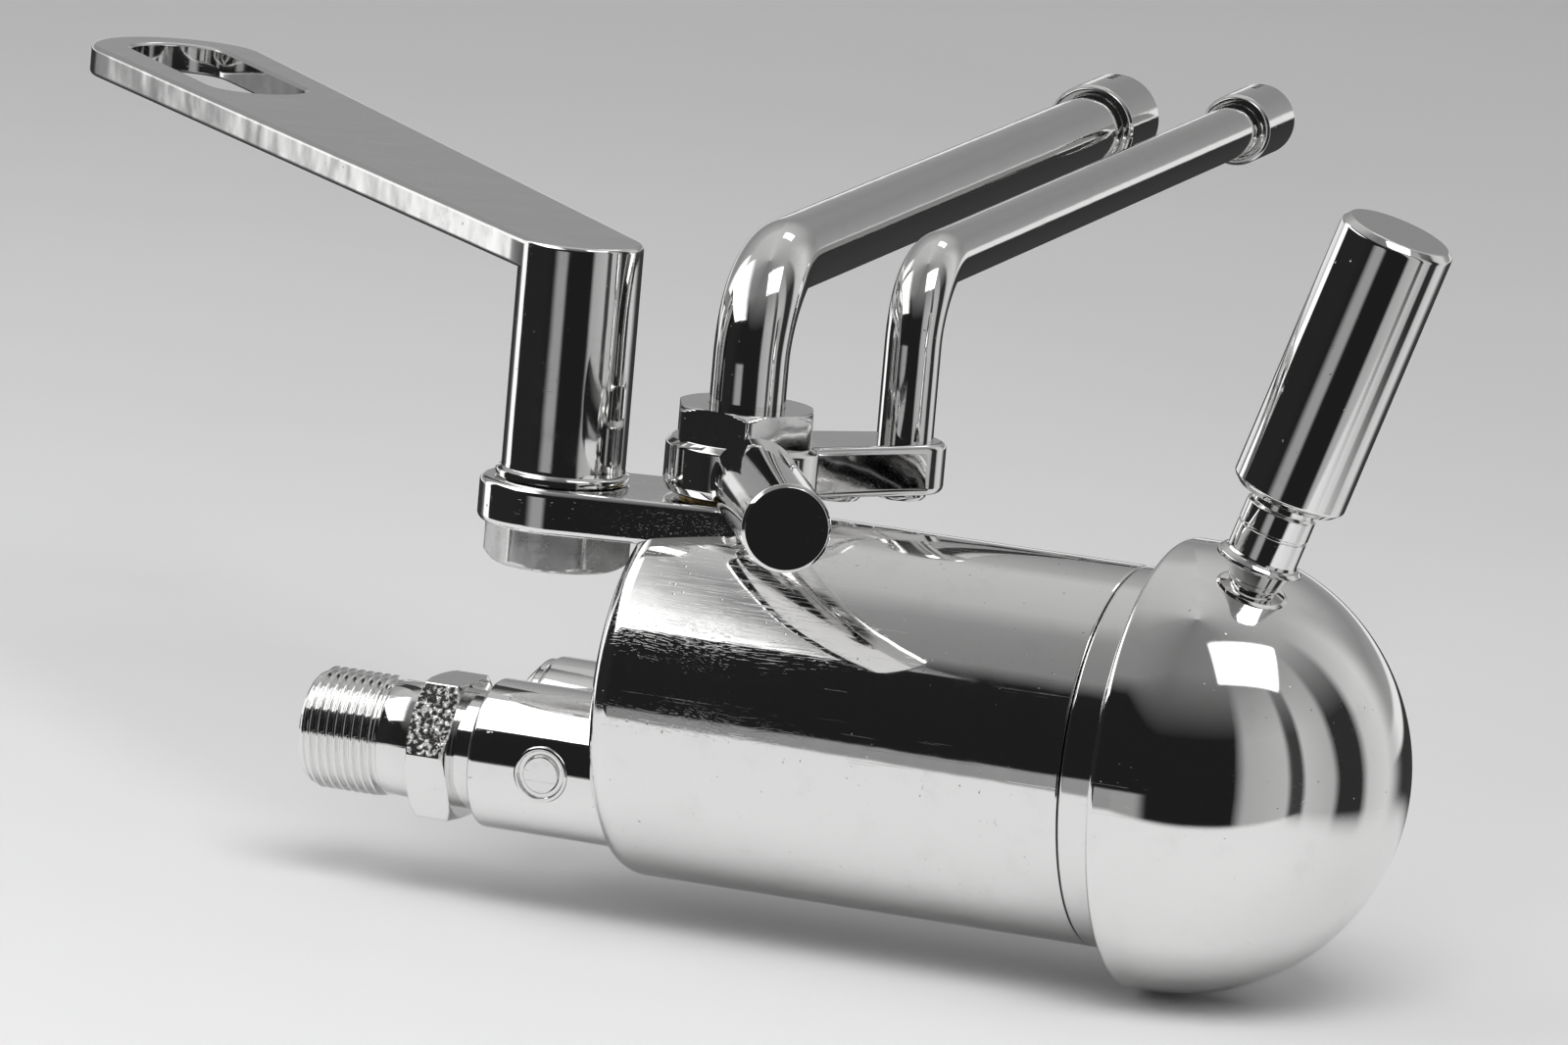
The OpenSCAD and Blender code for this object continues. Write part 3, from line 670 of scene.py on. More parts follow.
def build_body():
    """Barrel with two port bosses at its back and a lug on top that reaches to the post."""
    # (radius, x)
    profile = [(0, BODY_BACK)]
    profile += round_corner(BODY_R - BODY_ROUND, BODY_BACK + BODY_ROUND, BODY_ROUND, 14)
    profile += [(BODY_R, x) for x in (4, 16, 28, 40, BODY_FRONT - 0.25)]
    profile += [(BODY_R - 0.07, BODY_FRONT - 0.07), (BODY_R - 0.25, BODY_FRONT),
                (LINER_R + 0.25, BODY_FRONT), (LINER_R, BODY_FRONT - 0.25), (LINER_R, 41),
                (CAVITY_R, 41), (CAVITY_R, 14), (0, 14)]
    body = lathe("valve_body_hi", profile, along_x(), 224)

    boss = [(0, -24.1), (8.0, -24.1)] + round_corner(8.1, -23.5, 0.6, 6)
    boss += [(PORT_BOSS_R, -22.8)] + [(PORT_BOSS_R, -20 + 0.8 * k) for k in range(14)]
    boss += [(PORT_BOSS_R, -8), (PORT_BOSS_R, -4), (0, -4)]
    for side in (-1, 1):
        boolean(body, lathe("boss", boss, along_x(side * PORT, -PORT), 128), "UNION")
    lug = plate(lambda inset: pill(POST, 9.5, (0, 0), 9.2, inset, 48), 18.0, 23.2, 0.8, 0.8)
    boolean(body, finish_mesh("lug", lug), "UNION")

    for side in (-1, 1):
        drill(body, (
            (along_x(side * PORT, -PORT), -26, -16, PORT_BORE_R, 96),
            (along_x(side * PORT, -PORT), -17, 8, 3.5, 48),
            (along_x(side * 6.8, -5.6), 4, 15, 2.4, 48),
        ))
    side_bore = along_y(SIDE_PLUG_X, -PORT)
    drill(body, (
        (along_x(0, 9), 0, 15, 3.0, 48),
        (along_z(), 8, 14, 2.9, 48),
        (along_z(), 13.2, 25, HUB_BORE_R, 96),
        (along_x(0, -14), 10.8, 15, 2.05, 48),
        (at_post, 16, 25, POST_BORE_R, 96),
        (side_bore, -PORT - 12, -PORT, 1.1, 32),
        (side_bore, -PORT - 12, -PORT - 6.4, 3.3, 96),
    ))
    cylinders = (
        (ORIGIN, X, BODY_R), (BLANK_AXIS, X, PORT_BOSS_R), (INLET_AXIS, X, PORT_BOSS_R),
        (ORIGIN, X, -LINER_R), (ORIGIN, X, -CAVITY_R),
        (BLANK_AXIS, X, -PORT_BORE_R), (INLET_AXIS, X, -PORT_BORE_R),
        (ORIGIN, Z, -HUB_BORE_R), (POST_AXIS, Z, -POST_BORE_R),
    )
    exact(body, "xz", cylinders, body_edge_normal)
    return body


keep(build_body(), "valve_body", "barrel")


# ---------------------------------------------------------------- ring, dome handle and lever
# Closed section: (radius, x, rounding)
BONNET_RING = [
    (15, 45.2, 0.1), (18.4, 45.2, 0.2), (18.4, 49.2, 0.05), (21.78, 49.2, 0.25),
    (BODY_R, 49.45, 0.3), (BODY_R, 53.4, 0.45), (21.45, 53.8, 0.3), (15, 53.8, 0.3)]
# Axis sections: (radius, distance along the lever, rounding)
LEVER_NECK = [
    (0, 16), (3, 16, 0.3), (3, 25.5), (5.0, 25.5), (5.0, 26.1, 0.3), (4.62, 26.5, 0.2),
    (4.3, 26.6, 0.15), (4.15, 26.95, 0.25), (4.15, 29.9, 0.06), (3.98, 30.0), (3.98, 30.15),
    (4.15, 30.25, 0.06), (4.15, 32.7, 0.15), (3.75, 33.0, 0.1), (3.75, 34.2), (2.5, 34.2),
    (2.5, 46.2, 0.3), (0, 46.2)]
LEVER_GRIP = [
    (2.55, 34.2), (5.85, 34.2, 0.1), (6.7, 35.0, 0.5), (6.7, 66.95, 0.55), (5.95, 67.7, 0.4),
    (0, 67.7)]
# Inside of the dome, from the rim: (radius, x)
DOME_INSIDE = [
    (24.45, 53.8), (24.2, 54.05), (24.2, 60), (22.5, 62), (19, 68), (13, 71), (9, 71),
    (8, 70.2), (8, 58.0), (0, 58.0)]
# Stepped hole for the lever: (radius, distance along the lever)
LEVER_HOLE = [(0, 11), (3.05, 11), (3.05, 25.4), (5.1, 25.4), (5.1, 32), (0, 32)]


def ball_normal(point, normal, middle):
    spoke = point - Vector((BALL_X, 0, 0))
    on_ball = middle.x > BALL_X and abs(spoke.length - DOME_R) < 0.02
    if on_ball and normal.dot(spoke.normalized()) > 0.97:
        return spoke.normalized()
    return None


def build_dome():
    angles = [QUARTER * (1 - k / 72) for k in range(73)]
    profile = [(DOME_R * math.cos(a), BALL_X + DOME_R * math.sin(a)) for a in angles]
    profile += [(DOME_R, BALL_X - 1.0), (DOME_R, 54.75)]
    profile += reversed(round_corner(DOME_R - 0.9, 54.7, 0.9, 8))
    dome = lathe("dome_handle_hi", profile + DOME_INSIDE, along_x(), 224)
    boolean(dome, cylinder(on_lever, 16, 24.6, 5, 64), "UNION")

    square = bmesh.new()
    bmesh.ops.create_cube(square, size=1.0)
    square_at = lambda p: (BALL_X + 3.8 + p.x * 23.6, p.y * 7.1, p.z * 7.1)
    boolean(dome, finish_mesh("square", square, square_at), "DIFFERENCE")
    boolean(dome, lathe("hole", LEVER_HOLE, on_lever, 96), "DIFFERENCE")
    # stepped hole from below
    under = along_z(BALL_X + 7.4)
    drill(dome, ((under, -9, -2, 2.0, 48), (under, -30, -8.5, 2.4, 64)))
    exact(dome, cylinders=[(ORIGIN, X, DOME_R)], special=ball_normal)
    return dome


ring = turned("bonnet_ring_hi", BONNET_RING, along_x(), 224, closed=True)
keep(ring, "bonnet_ring", "ring")
keep(build_dome(), "dome_handle", "dome")
keep(turned("lever_neck_hi", LEVER_NECK, on_lever, 112), "lever_neck", "lever")
keep(turned("lever_grip_hi", LEVER_GRIP, on_lever, 128), "lever_grip", "lever")


# ---------------------------------------------------------------- inlet nipple and plugs
THREAD_PITCH = 1.06
THREAD_END = -36.3
HEX_START, HEX_END = -31.9, -26.8
INLET_BORE = (at_inlet, -33, -16, 3.2, 64)
INLET_FLANGE_R = 6.9
BLANK_R = 8.3
# Profiles: (radius, x, rounding)
INLET_SHANK = [
    (0, -26.85), (INLET_FLANGE_R, -26.85, 0.1), (INLET_FLANGE_R, -24.35, 0.25),
    (6.55, -24.2, 0.1), (6.25, -24.1), (6.25, -16.6, 0.3), (0, -16.6)]
BLANK_PLUG = [
    (0, -26.7), (6.4, -26.7, 0.5), (BLANK_R, -25.05, 0.5), (BLANK_R, -24.12, 0.15),
    (6.25, -24.12), (6.25, -16.6, 0.3), (0, -16.6)]
# (radius, distance outwards from y = -PORT, rounding)
SIDE_PLUG = [
    (0, 6.45), (3.25, 6.45, 0.1), (3.25, 8.7, 0.35), (2.85, 8.75, 0.1), (2.72, 8.42, 0.08),
    (2.24, 8.42, 0.08), (2.1, 8.75, 0.1), (0, 8.78)]


def clamp01(value):
    return min(1.0, max(0.0, value))


def build_thread():
    """Male thread: the crest climbs one pitch per turn and fades out at both ends."""
    count, steps = 96, 112

    def radius(k, z):
        lead = clamp01((z - INLET_END) / 1.3)
        fade = clamp01((THREAD_END - z) / 0.9)
        phase = (z / THREAD_PITCH - k / count) % 1.0
        crest = clamp01((1 - abs(2 * phase - 1) - 0.12) / 0.72)
        crest = crest * crest * (3 - 2 * crest)
        return (6.42 + 0.66 * crest - (1 - lead) * (0.35 + 0.5 * crest)
                - (1 - fade) * 0.25 * crest)

    # (radius, x) of the bore and free end, then of the collar up to the hexagon
    before = [(4.6, INLET_END + 14.0), (4.6, INLET_END + 0.35), (4.95, INLET_END),
              (6.2, INLET_END)]
    after = [(6.4, THREAD_END), (6.6, THREAD_END + 0.05), (6.75, THREAD_END + 0.25),
             (6.75, -34), (6.75, -32.2), (6.55, -31.95), (3.6, HEX_START)]
    bm = bmesh.new()
    rings = [new_ring(bm, [r] * count, z) for r, z in before]
    for i in range(steps + 1):
        z = INLET_END + 0.22 + (THREAD_END - INLET_END - 0.35) * i / steps
        rings.append(new_ring(bm, [radius(k, z) for k in range(count)], z))
    rings += [new_ring(bm, [r] * count, z) for r, z in after]
    bridge(bm, rings, count, True)
    return finish_mesh("inlet_thread_hi", bm, at_inlet, 50)


def build_inlet_hex():
    """Hexagon with one facet left rough."""
    prism = hex_prism(15.9, ends=(HEX_START, HEX_END), chamfers=(0.6, 0.6), faces=(8.1, 8.1))
    obj = finish_mesh("inlet_hex_hi", prism, at_inlet)
    drill(obj, [INLET_BORE])
    exact(obj, "x", sharp=25)
    obj.data.materials.append(CHROME["nut"])
    obj.data.materials.append(ROUGH_FACET)
    facing = math.radians(150)
    rough_side = Vector((0, math.cos(facing), math.sin(facing)))
    for face in obj.data.polygons:
        if face.normal.dot(rough_side) > 0.995 and abs(face.normal.x) < 0.02:
            face.material_index = 1
    return obj


def build_inlet_shank():
    obj = turned("inlet_shank_hi", INLET_SHANK, at_inlet, 96)
    drill(obj, [INLET_BORE])
    exact(obj, "x", [(INLET_AXIS, X, INLET_FLANGE_R)])
    return obj


def build_blank():
    """Turned plug with a hexagon socket."""
    plug = turned("blank_plug_hi", BLANK_PLUG, at_blank, 112)
    socket = loft([[(x, y, z) for x, y in hex_loop(6.0, 0.2, 2)] for z in (-28, -22.1)])
    boolean(plug, finish_mesh("socket", socket, at_blank), "DIFFERENCE")
    exact(plug, "x", [(BLANK_AXIS, X, BLANK_R)])
    return plug


nipple = (build_thread(), build_inlet_hex(), build_inlet_shank())
for obj in (nipple[0], nipple[2]):
    obj.data.materials.clear()
    obj.data.materials.append(CHROME["nut"])
for obj in nipple:
    register(obj, "inlet_nipple")

at_side = lambda p: (p.x + SIDE_PLUG_X, -PORT - p.z, p.y - PORT)
keep(turned("side_plug_hi", SIDE_PLUG, at_side, 72), "side_plug", "nut")
keep(build_blank(), "blank_plug", "nut")


# ---------------------------------------------------------------- swinging arm
# (radius, z, rounding)
HUB = [
    (0, 23.5), (7.8, 23.5, 0.2), (8.65, 23.85, 0.3), (HUB_R, 24.7, 0.5), (HUB_R, 29.3, 0.5),
    (8.3, 30, 0.4), (0, 30)]
ARM_PLUG = [
    (0, 23), (2.6, 23, 0.15), (3, 23.4, 0.2), (3, 23.98, 0.05), (2.17, 23.98),
    (2.17, 25.2, 0.15), (0, 25.2)]
# (radius, distance from the hub's axis, rounding)
THUMB_ROD = [
    (0, 7), (2.45, 7, 0.2), (2.45, 9.05), (3.2, 9.05, 0.1), (3.2, 10.9), (4.7, 10.9, 0.2),
    (5.1, 11.4, 0.5), (5.1, 40.6, 0.2), (4.72, 41.0, 0.12), (0, 41.0)]
# tube: foot x, foot y, foot z, outer radius, inner radius, bend radius, spray hole radius
TUBES = {
    "large": (0, 0, 29.6, 4.4, 3.6, 11, 0.5),
    "small": (*SMALL_TUBE, 26.1, 3.3, 2.6, 9, 0.4),
}


def on_arm(distance):
    return along_z(distance * math.cos(ARM_ANGLE), distance * math.sin(ARM_ANGLE))


def build_hub():
    hub = turned("swing_hub_hi", HUB)
    arm = plate(lambda inset: pill((0, 0), 6.6, SMALL_TUBE, 4.9, inset), 24.0, 29.98, 0.8, 0.9)
    boolean(hub, finish_mesh("arm", arm), "UNION")
    drill(hub, (
        (along_z(), 22, 28, 6.02, 96),
        (along_z(), 27.9, 31, 6.45, 96),
        (along_z(*SMALL_TUBE), 26, 31, 3.32, 64),
        (along_z(*SMALL_TUBE), 22, 26.5, 2.2, 48),
        (on_arm(ARM_PLUG_NEAR), 22, 26.9, 2.2, 48),
        (out_along(ARM_ANGLE, 26.9), 5, ARM_REACH, 1.5, 32),
        (out_along(ROD_ANGLE, ROD_Z), 6.9, 10.9, 2.5, 48),
    ))
    exact(hub, "z", [(ORIGIN, Z, HUB_R)])
    return hub


def build_nut():
    """Hexagon nut with a round collar below, round the large tube's foot."""
    prism = hex_prism(15.3, ends=(30.02, 34.0), chamfers=(0.01, 0.75), faces=(9.2, 7.75),
                      turn=math.radians(-8.5), corner=0.4)
    nut = finish_mesh("union_nut_hi", prism)
    boolean(nut, cylinder(along_z(), 29, 31, 6.4, 80), "UNION")
    drill(nut, ((along_z(), 28, 32, 5.36), (along_z(), 31, 35, 4.45)))
    exact(nut, "z", sharp=25)
    return nut


def build_tube(size):
    """Straight rise, quarter bend, level run towards the bowl; open at both ends."""
    x, y, foot_z, outer_r, inner_r, bend, _ = TUBES[size]
    path = []       # (point, direction, flattening)
    for k in range(9):
        rise = (TUBE_Z - bend - foot_z) * k / 8
        path.append((Vector((x, y, foot_z + rise)), Vector((0, 0, 1)), 0.0))
    for k in range(1, 33):
        a = QUARTER * k / 32
        point = Vector((x, y + bend - bend * math.cos(a), TUBE_Z - bend + bend * math.sin(a)))
        path.append((point, Vector((0, math.sin(a), math.cos(a))), math.sin(2 * a) ** 2))
    for k in range(1, 25):
        run = (TUBE_RUN - bend) * k / 24
        path.append((Vector((x, y + bend + run, TUBE_Z)), Vector((0, 1, 0)), 0.0))
    count = 72
    side = Vector((1, 0, 0))
    spin = Matrix.Rotation(TUBE_TURN, 3, "Z")
    foot = Vector((x, y, 0))

    def loop(i, radius, slide=0.0):
        point, heading, flattening = path[i]
        upward = side.cross(heading)
        squeeze = 1 - 0.035 * flattening
        out = []
        for k in range(count):
            a = 2 * math.pi * k / count
            p = (point + heading * slide + side * (radius * (2 - squeeze) * math.cos(a))
                 + upward * (radius * squeeze * math.sin(a)))
            out.append(tuple(foot + spin @ (p - foot)))
        return out

    last = len(path) - 1
    edge = TUBE_EDGE
    loops = [loop(0, inner_r + edge), loop(0, outer_r - edge), loop(0, outer_r, edge)]
    loops += [loop(i, outer_r) for i in range(1, last)]
    loops += [loop(last, outer_r, -edge), loop(last, outer_r - edge), loop(last, inner_r + edge)]
    loops += [loop(last, inner_r, -edge)] + [loop(i, inner_r) for i in range(last - 1, 0, -1)]
    loops.append(loop(0, inner_r, edge))
    return finish_mesh(f"wash_tube_{size}_hi", loft(loops, wrap=True), None, 50)


def build_tip(size):
    """Closed cap over a tube's end, with three spray holes on its upper side."""
    x, y, _, r, _, _, hole_r = TUBES[size]
    c, s = math.cos(TUBE_TURN), math.sin(TUBE_TURN)
    end_x, end_y = x - TUBE_RUN * s, y + TUBE_RUN * c
    place = lambda p: (end_x + p.x * c - p.z * s, end_y + p.x * s + p.z * c, p.y + TUBE_Z)
    cap_r = r + 1.2
    # (radius, distance beyond the tube's end, rounding)
    profile = [
        (0, 5.5), (r - 0.8, 5.5, 0.4), (r - 0.8, 0.05), (r + 0.03, 0.05), (r + 0.03, -7, 0.05),
        (r + 0.85, -7, 0.3), (cap_r, -6.4, 0.3), (cap_r, 5.9, 0.6), (r + 0.2, 7.25, 0.8),
        (0, 7.5)]
    tip = turned(f"nozzle_tip_{size}_hi", profile, place, 96)
    for i in range(3):
        beyond = 1.4 + i * 1.6
        hole_at = along_z(end_x - beyond * s, end_y + beyond * c)
        drill(tip, [(hole_at, TUBE_Z, TUBE_Z + r + 4, hole_r, 24)])
    exact(tip, cylinders=[((end_x, end_y, TUBE_Z), (-s, c, 0), cap_r)])
    return tip


keep(build_hub(), "swing_hub", "hub")
keep(build_nut(), "union_nut", "nut")
for size in TUBES:
    keep(build_tube(size), "wash_tube_" + size, "tube")
for size in TUBES:
    keep(build_tip(size), "nozzle_tips", "tube")
rod = turned("thumb_rod_hi", THUMB_ROD, out_along(ROD_ANGLE, ROD_Z), 112)
keep(rod, "thumb_rod", "lever")
for i, distance in enumerate((ARM_PLUG_NEAR, ARM_REACH)):
    keep(turned(f"arm_plug_{i}_hi", ARM_PLUG, on_arm(distance), 64), "arm_plugs", "nut")


# ---------------------------------------------------------------- bracket and clamp bolt
BRACKET_ANGLE = math.radians(133)
BRACKET_REACH = 138     # from the post to the centre of the slot's far end
SLOT_START = 110
SLOT_R = 6.0
# (radius, z)
POST_PROFILE = [
    (0, 23.22), (7.3, 23.22), (7.62, 23.26), (7.8, 23.45), (7.8, 23.95), (7.7, 24.15),
    (7.4, 24.3), (7.2, 24.5), (POST_R, 24.9), (POST_R, 34), (POST_R, 42), (POST_R, 50.5),
    (0, 50.5)]
# (widening, z): the slot's edges are eased at both faces
SLOT_LEVELS = (
    (0.45, 46.9), (0.45, 47.5), (0.2, 47.62), (0, 47.85), (0, 50.85), (0.2, 51.08),
    (0.45, 51.2), (0.45, 51.8))
# (radius, z, rounding)
BOLT_SHANK = [
    (0, 17.5), (BOLT_R, 17.5), (BOLT_R, 37.4, 0.3), (3.4, 38, 0.2), (0, 38)]


def along_bracket(distance):
    return (POST[0] + distance * math.cos(BRACKET_ANGLE),
            POST[1] + distance * math.sin(BRACKET_ANGLE))


def slot_outline(start, end, widening):
    a, b = Vector(start), Vector(end)
    along = (b - a).normalized()
    side = Vector((-along.y, along.x))
    r = SLOT_R + widening

    def half_circle(centre, first):
        angles = [first + math.pi * k / 28 for k in range(29)]
        return [centre + r * (math.cos(t) * along + math.sin(t) * side) for t in angles]

    points = half_circle(a, QUARTER)
    points += [(a + (b - a) * k / 12) - side * r for k in range(1, 12)]
    points += half_circle(b, -QUARTER)
    points += [(b + (a - b) * k / 12) + side * r for k in range(1, 12)]
    return points


def build_bracket():
    """Flat slotted arm on top of a hollow post."""
    start, end = along_bracket(SLOT_START), along_bracket(BRACKET_REACH)
    arm = plate(lambda inset: pill(POST, 7.15, end, 11.0, inset, 44, 30), 47.5, 51.2, 0.55, 0.55)
    bracket = finish_mesh("mounting_bracket_hi", arm)
    boolean(bracket, lathe("post", POST_PROFILE, at_post, 128), "UNION")
    slot = loft([[(p.x, p.y, z) for p in slot_outline(start, end, widening)]
                 for widening, z in SLOT_LEVELS])
    boolean(bracket, finish_mesh("slot", slot), "DIFFERENCE")
    drill(bracket, [(at_post, 22, 41, 4.0)])
    exact(bracket, "z", [(POST_AXIS, Z, POST_R)])
    return bracket


def build_bolt():
    head = hex_prism(15.0, ends=(13.3, 17.96), chamfers=(1.0, 0.01), faces=(7.1, 9.0),
                     turn=math.radians(12), corner=0.8)
    bolt = finish_mesh("clamp_bolt_hi", head, at_post)
    boolean(bolt, turned("shank", BOLT_SHANK, at_post, 64), "UNION")
    exact(bolt, "z", [(POST_AXIS, Z, BOLT_R)], sharp=24)
    return bolt


keep(build_bracket(), "mounting_bracket", "bracket")
# the bolt's chrome carries painted reflection: its raised brightness stands for a white surface
# below
keep(build_bolt(), "clamp_bolt", "bolt")


# ---------------------------------------------------------------- studio
TO_CAMERA = Vector((0.33541, -0.92648, 0.17069)).normalized()
CAMERA_RIGHT = Vector((0.9317, 0.35304, 0.0854))
CAMERA_UP = Vector((-0.13938, 0.13039, 0.98162))
LEVEL_RIGHT = Vector((0.94028, 0.34039, 0.0))
LEVEL_FRONT = Vector((TO_CAMERA.x, TO_CAMERA.y, 0)).normalized()
FLOOR_Z = (ROW_OFFSET.z - 26.35) * MM


def build_floor():
    """Pale floor; in reflections only the patch round the valve is there."""
    bm = bmesh.new()
    bmesh.ops.create_grid(bm, x_segments=8, y_segments=8, size=14.0)
    for v in bm.verts:
        v.co.z = FLOOR_Z
    floor = link_mesh("studio_floor", bm)
    material, nodes, shader, mm = start_material("studio_floor_pale")
    # limits of the reflected patch, in metres
    position = nodes.add("NewGeometry").outputs["Position"]
    front = nodes.dot(position, LEVEL_FRONT)
    across = nodes.dot(position, LEVEL_RIGHT)
    patch = nodes.times(
        nodes.times(nodes.span(front, 0.112, 0.128, 1, 0), nodes.span(front, -0.10, -0.04)),
        nodes.times(nodes.span(across, -0.16, -0.09), nodes.span(across, 0.17, 0.26, 1, 0)))
    glossy = nodes.add("LightPath").outputs["Is Glossy Ray"]
    hidden = nodes.times(nodes.math("SUBTRACT", 1.0, patch), glossy)
    tint = nodes.span(nodes.noise(mm, scale=0.004), 0.3, 0.7)
    colour = nodes.mix_colour(tint, (0.80, 0.80, 0.80, 1), (0.77, 0.77, 0.775, 1))
    uneven = nodes.noise(mm, scale=0.05, detail=4, rough=0.6)
    nodes.fill(shader, {"Base Color": colour, "Specular IOR Level": 0.25,
                        "Roughness": nodes.plus(nodes.times(uneven, 0.15), 0.42)})
    clear = nodes.add("BsdfTransparent")
    mixed = nodes.add("MixShader", {0: hidden, 1: shader.outputs[0], 2: clear.outputs[0]})
    output = next(n for n in material.node_tree.nodes if n.type == "OUTPUT_MATERIAL")
    nodes.fill(output, {"Surface": mixed.outputs[0]})
    floor.data.materials.append(material)


# Grey levels of the reflected room. Azimuth in degrees, 0 towards the camera, + to its right.
LOW_BAND = [
    (-180, 0.26), (-140, 0.30), (-122, 0.75), (-116, 0.02), (-64, 0.02), (-40, 0.014),
    (24, 0.014), (30, 0.42), (52, 0.50), (55, 0.05), (61, 0.05), (63, 0.55), (80, 0.45),
    (84, 0.03), (100, 0.03), (106, 0.6), (124, 0.7), (142, 0.30), (180, 0.26)]
HIGH_BAND = [
    (-180, 0.60), (-120, 0.5), (-80, 0.30), (-20, 0.20), (40, 0.24), (110, 0.42), (180, 0.60)]
# The side away from the camera, by elevation in degrees
FAR_SIDE = [
    (-40, 0.06), (-3.5, 0.035), (-2, 0.85), (2.5, 0.85), (4.5, 0.34), (16, 0.27), (30, 0.36),
    (50, 0.5)]
# Even light for what isn't mirrored, by the height of the direction
EVEN_LIGHT = [(-1, 0.75), (0, 0.80), (1, 1.0)]


def reflected(u, v):
    """Direction mirrored by a ball at (u, v) of its radius from its centre, as the camera sees."""
    w = math.sqrt(1 - u * u - v * v)
    return CAMERA_RIGHT * (2 * w * u) + CAMERA_UP * (2 * w * v) + TO_CAMERA * (2 * w * w - 1)


# Softboxes: centre, direction of the first side, half sizes as tangents, level
SOFTBOXES = (
    (reflected(0.26, 0.45), CAMERA_RIGHT * 0.92 + CAMERA_UP * 0.38, 0.26, 0.20, 2.6),
    (reflected(0.30, 0.78), CAMERA_RIGHT, 0.13, 0.08, 2.2),
    (reflected(-0.86, 0.20), Vector(Z), 0.9, 0.14, 1.2),
)


def softbox(nodes, direction, centre, side, half_side, half_other):
    """1 inside a soft-edged rectangle of directions about centre."""
    soft = 0.02
    centre = centre.normalized()
    side = (side - centre * side.dot(centre)).normalized()
    depth = nodes.math("MAXIMUM", nodes.dot(direction, centre), 0.02)

    def within(axis, half):
        tangent = nodes.math("DIVIDE", nodes.dot(direction, axis), depth)
        return nodes.span(nodes.math("ABSOLUTE", tangent), half - soft, half + soft, 1, 0)

    ahead = nodes.span(nodes.dot(direction, centre), 0.02, 0.05)
    inside = nodes.times(within(side, half_side), within(centre.cross(side), half_other))
    return nodes.times(ahead, inside)


def build_world():
    """A studio seen only in reflections, even light for the rest, and a grey backdrop."""
    world = bpy.data.worlds.new("studio")
    bpy.context.scene.world = world
    world.use_nodes = True
    world.node_tree.nodes.clear()
    nodes = Nodes(world.node_tree)
    direction = nodes.add("TexCoord").outputs["Generated"]
    front = nodes.dot(direction, LEVEL_FRONT)
    right = nodes.dot(direction, LEVEL_RIGHT)
    upward = nodes.dot(direction, Z)
    degrees = 180 / math.pi
    azimuth = nodes.times(nodes.math("ARCTAN2", right, front), degrees)
    elevation = nodes.times(nodes.math("ARCSINE", upward), degrees)

    away = nodes.span(nodes.math("ABSOLUTE", azimuth), 126, 146)
    low = nodes.mix(away, nodes.ramp(azimuth, LOW_BAND), nodes.ramp(elevation, FAR_SIDE))
    # elevation where the low band starts to give way, and over how many degrees
    horizon = nodes.span(azimuth, -48, -15, 41, 24)
    depth = nodes.span(azimuth, -48, -15, 8, 34)
    rise = nodes.math("DIVIDE", nodes.math("SUBTRACT", elevation, horizon), depth, clamp=True)
    sky = nodes.mix(rise, low, nodes.ramp(azimuth, HIGH_BAND))
    for *shape, level in SOFTBOXES:
        sky = nodes.mix(softbox(nodes, direction, *shape), sky, level)
    # dim strip below the horizon, left of the camera
    strip_azimuth = nodes.times(nodes.span(azimuth, -50, -36), nodes.span(azimuth, -26, -18, 1, 0))
    strip = nodes.times(nodes.span(elevation, -22, -20),
                        nodes.times(nodes.span(elevation, -6.5, -5, 1, 0), strip_azimuth))
    sky = nodes.mix(strip, sky, 0.34)

    def background(colour, strength):
        return nodes.add("Background", {"Color": colour, "Strength": strength}).outputs[0]

    mirrored = background(sky, 1.0)
    even = background(nodes.ramp(upward, EVEN_LIGHT), 0.46)
    backdrop = background((0.66, 0.655, 0.65, 1), 1.0)
    rays = nodes.add("LightPath").outputs
    light = nodes.add("MixShader", {0: rays["Is Glossy Ray"], 1: even, 2: mirrored})
    seen = nodes.add("MixShader", {0: rays["Is Camera Ray"], 1: light.outputs[0], 2: backdrop})
    nodes.add("OutputWorld", {"Surface": seen.outputs[0]})


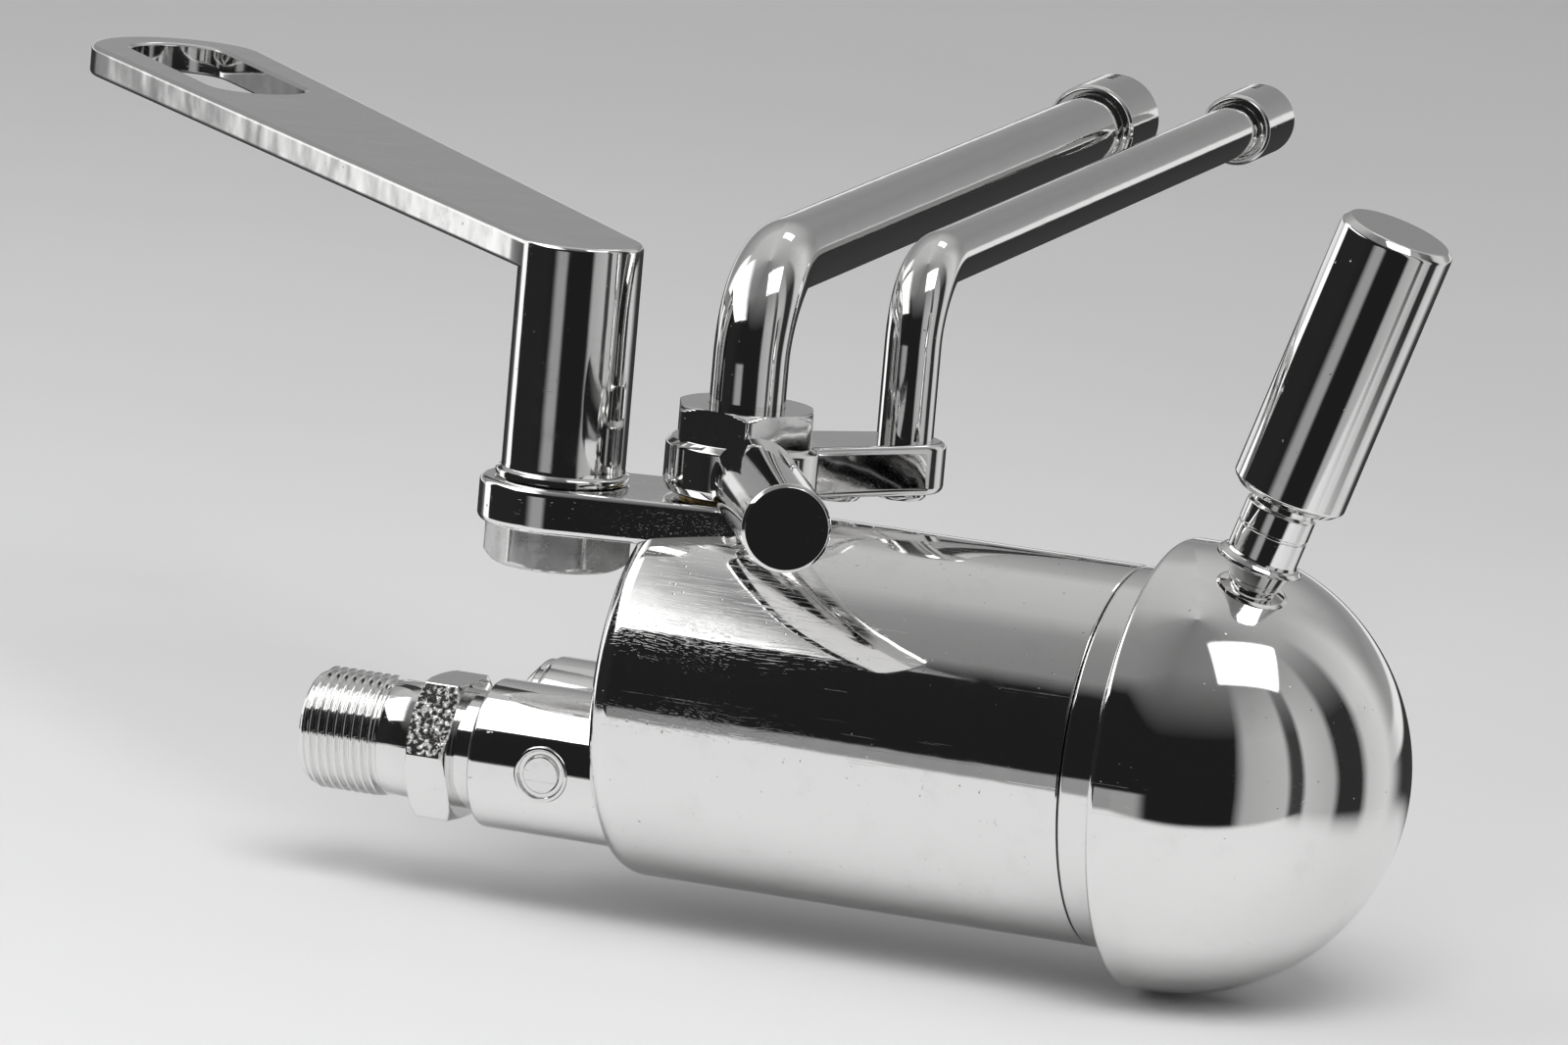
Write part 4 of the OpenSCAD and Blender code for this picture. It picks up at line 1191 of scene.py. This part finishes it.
def area_light(name, position, width, height, watts):
    """Rectangle aimed at the valve and hidden from reflections; position is in millimetres."""
    data = bpy.data.lights.new(name, "AREA")
    data.shape = "RECTANGLE"
    data.size = width
    data.size_y = height
    data.energy = watts
    light = link(name, data)
    here, target = to_row(position), to_row((10, 10, 0))
    light.location = here
    light.rotation_euler = (target - here).to_track_quat("-Z", "Y").to_euler()
    light.visible_glossy = False


def build_card():
    """Pale card over the -X end, seen only in the plating, as a white seat would be."""
    corners = ((-230, -190, 165), (-40, -190, 165), (-52, 10, 150), (-230, 30, 150))
    bm = bmesh.new()
    bm.faces.new([bm.verts.new(to_row(p)) for p in corners])
    card = link_mesh("studio_card", bm)
    card.visible_camera = False
    card.visible_diffuse = False
    card.visible_shadow = False
    material, nodes, shader, mm = start_material("studio_card_pale")
    # fades towards its +X edge; x is in metres
    x = nodes.dot(nodes.add("NewGeometry").outputs["Position"], X)
    fade = nodes.span(x, -0.045, 0.004, 1, 0.1)
    glow = nodes.span(nodes.noise(mm, scale=0.02, detail=2), 0.3, 0.7, 1.7, 2.6)
    nodes.fill(shader, {"Base Color": (0, 0, 0, 1), "Emission Color": (1, 1, 1, 1),
                        "Emission Strength": nodes.times(fade, glow)})
    card.data.materials.append(material)


def build_camera():
    data = bpy.data.cameras.new("camera")
    data.sensor_width = 36.0
    data.lens = 298.3
    data.clip_start = 0.01
    data.clip_end = 60.0
    camera = link("camera", data)
    target = to_row(ORIGIN) + (CAMERA_RIGHT * 7.14 + CAMERA_UP * 19.85) * MM
    place = target + TO_CAMERA * 1.5
    back = TO_CAMERA.normalized()
    up = back.cross(CAMERA_RIGHT.normalized()).normalized()
    right = up.cross(back)
    rows = [(right[i], up[i], back[i], place[i]) for i in range(3)]
    camera.matrix_world = Matrix(rows + [(0, 0, 0, 1)])
    bpy.context.scene.camera = camera


build_floor()
build_world()
area_light("key", (250, -420, 700), width=0.55, height=0.45, watts=4.6)
area_light("fill", (-500, -200, 450), width=0.7, height=0.6, watts=1.8)
build_card()
build_camera()
# a colour configuration without the Standard view keeps its own default
try:
    bpy.context.scene.view_settings.view_transform = "Standard"
except TypeError:
    pass
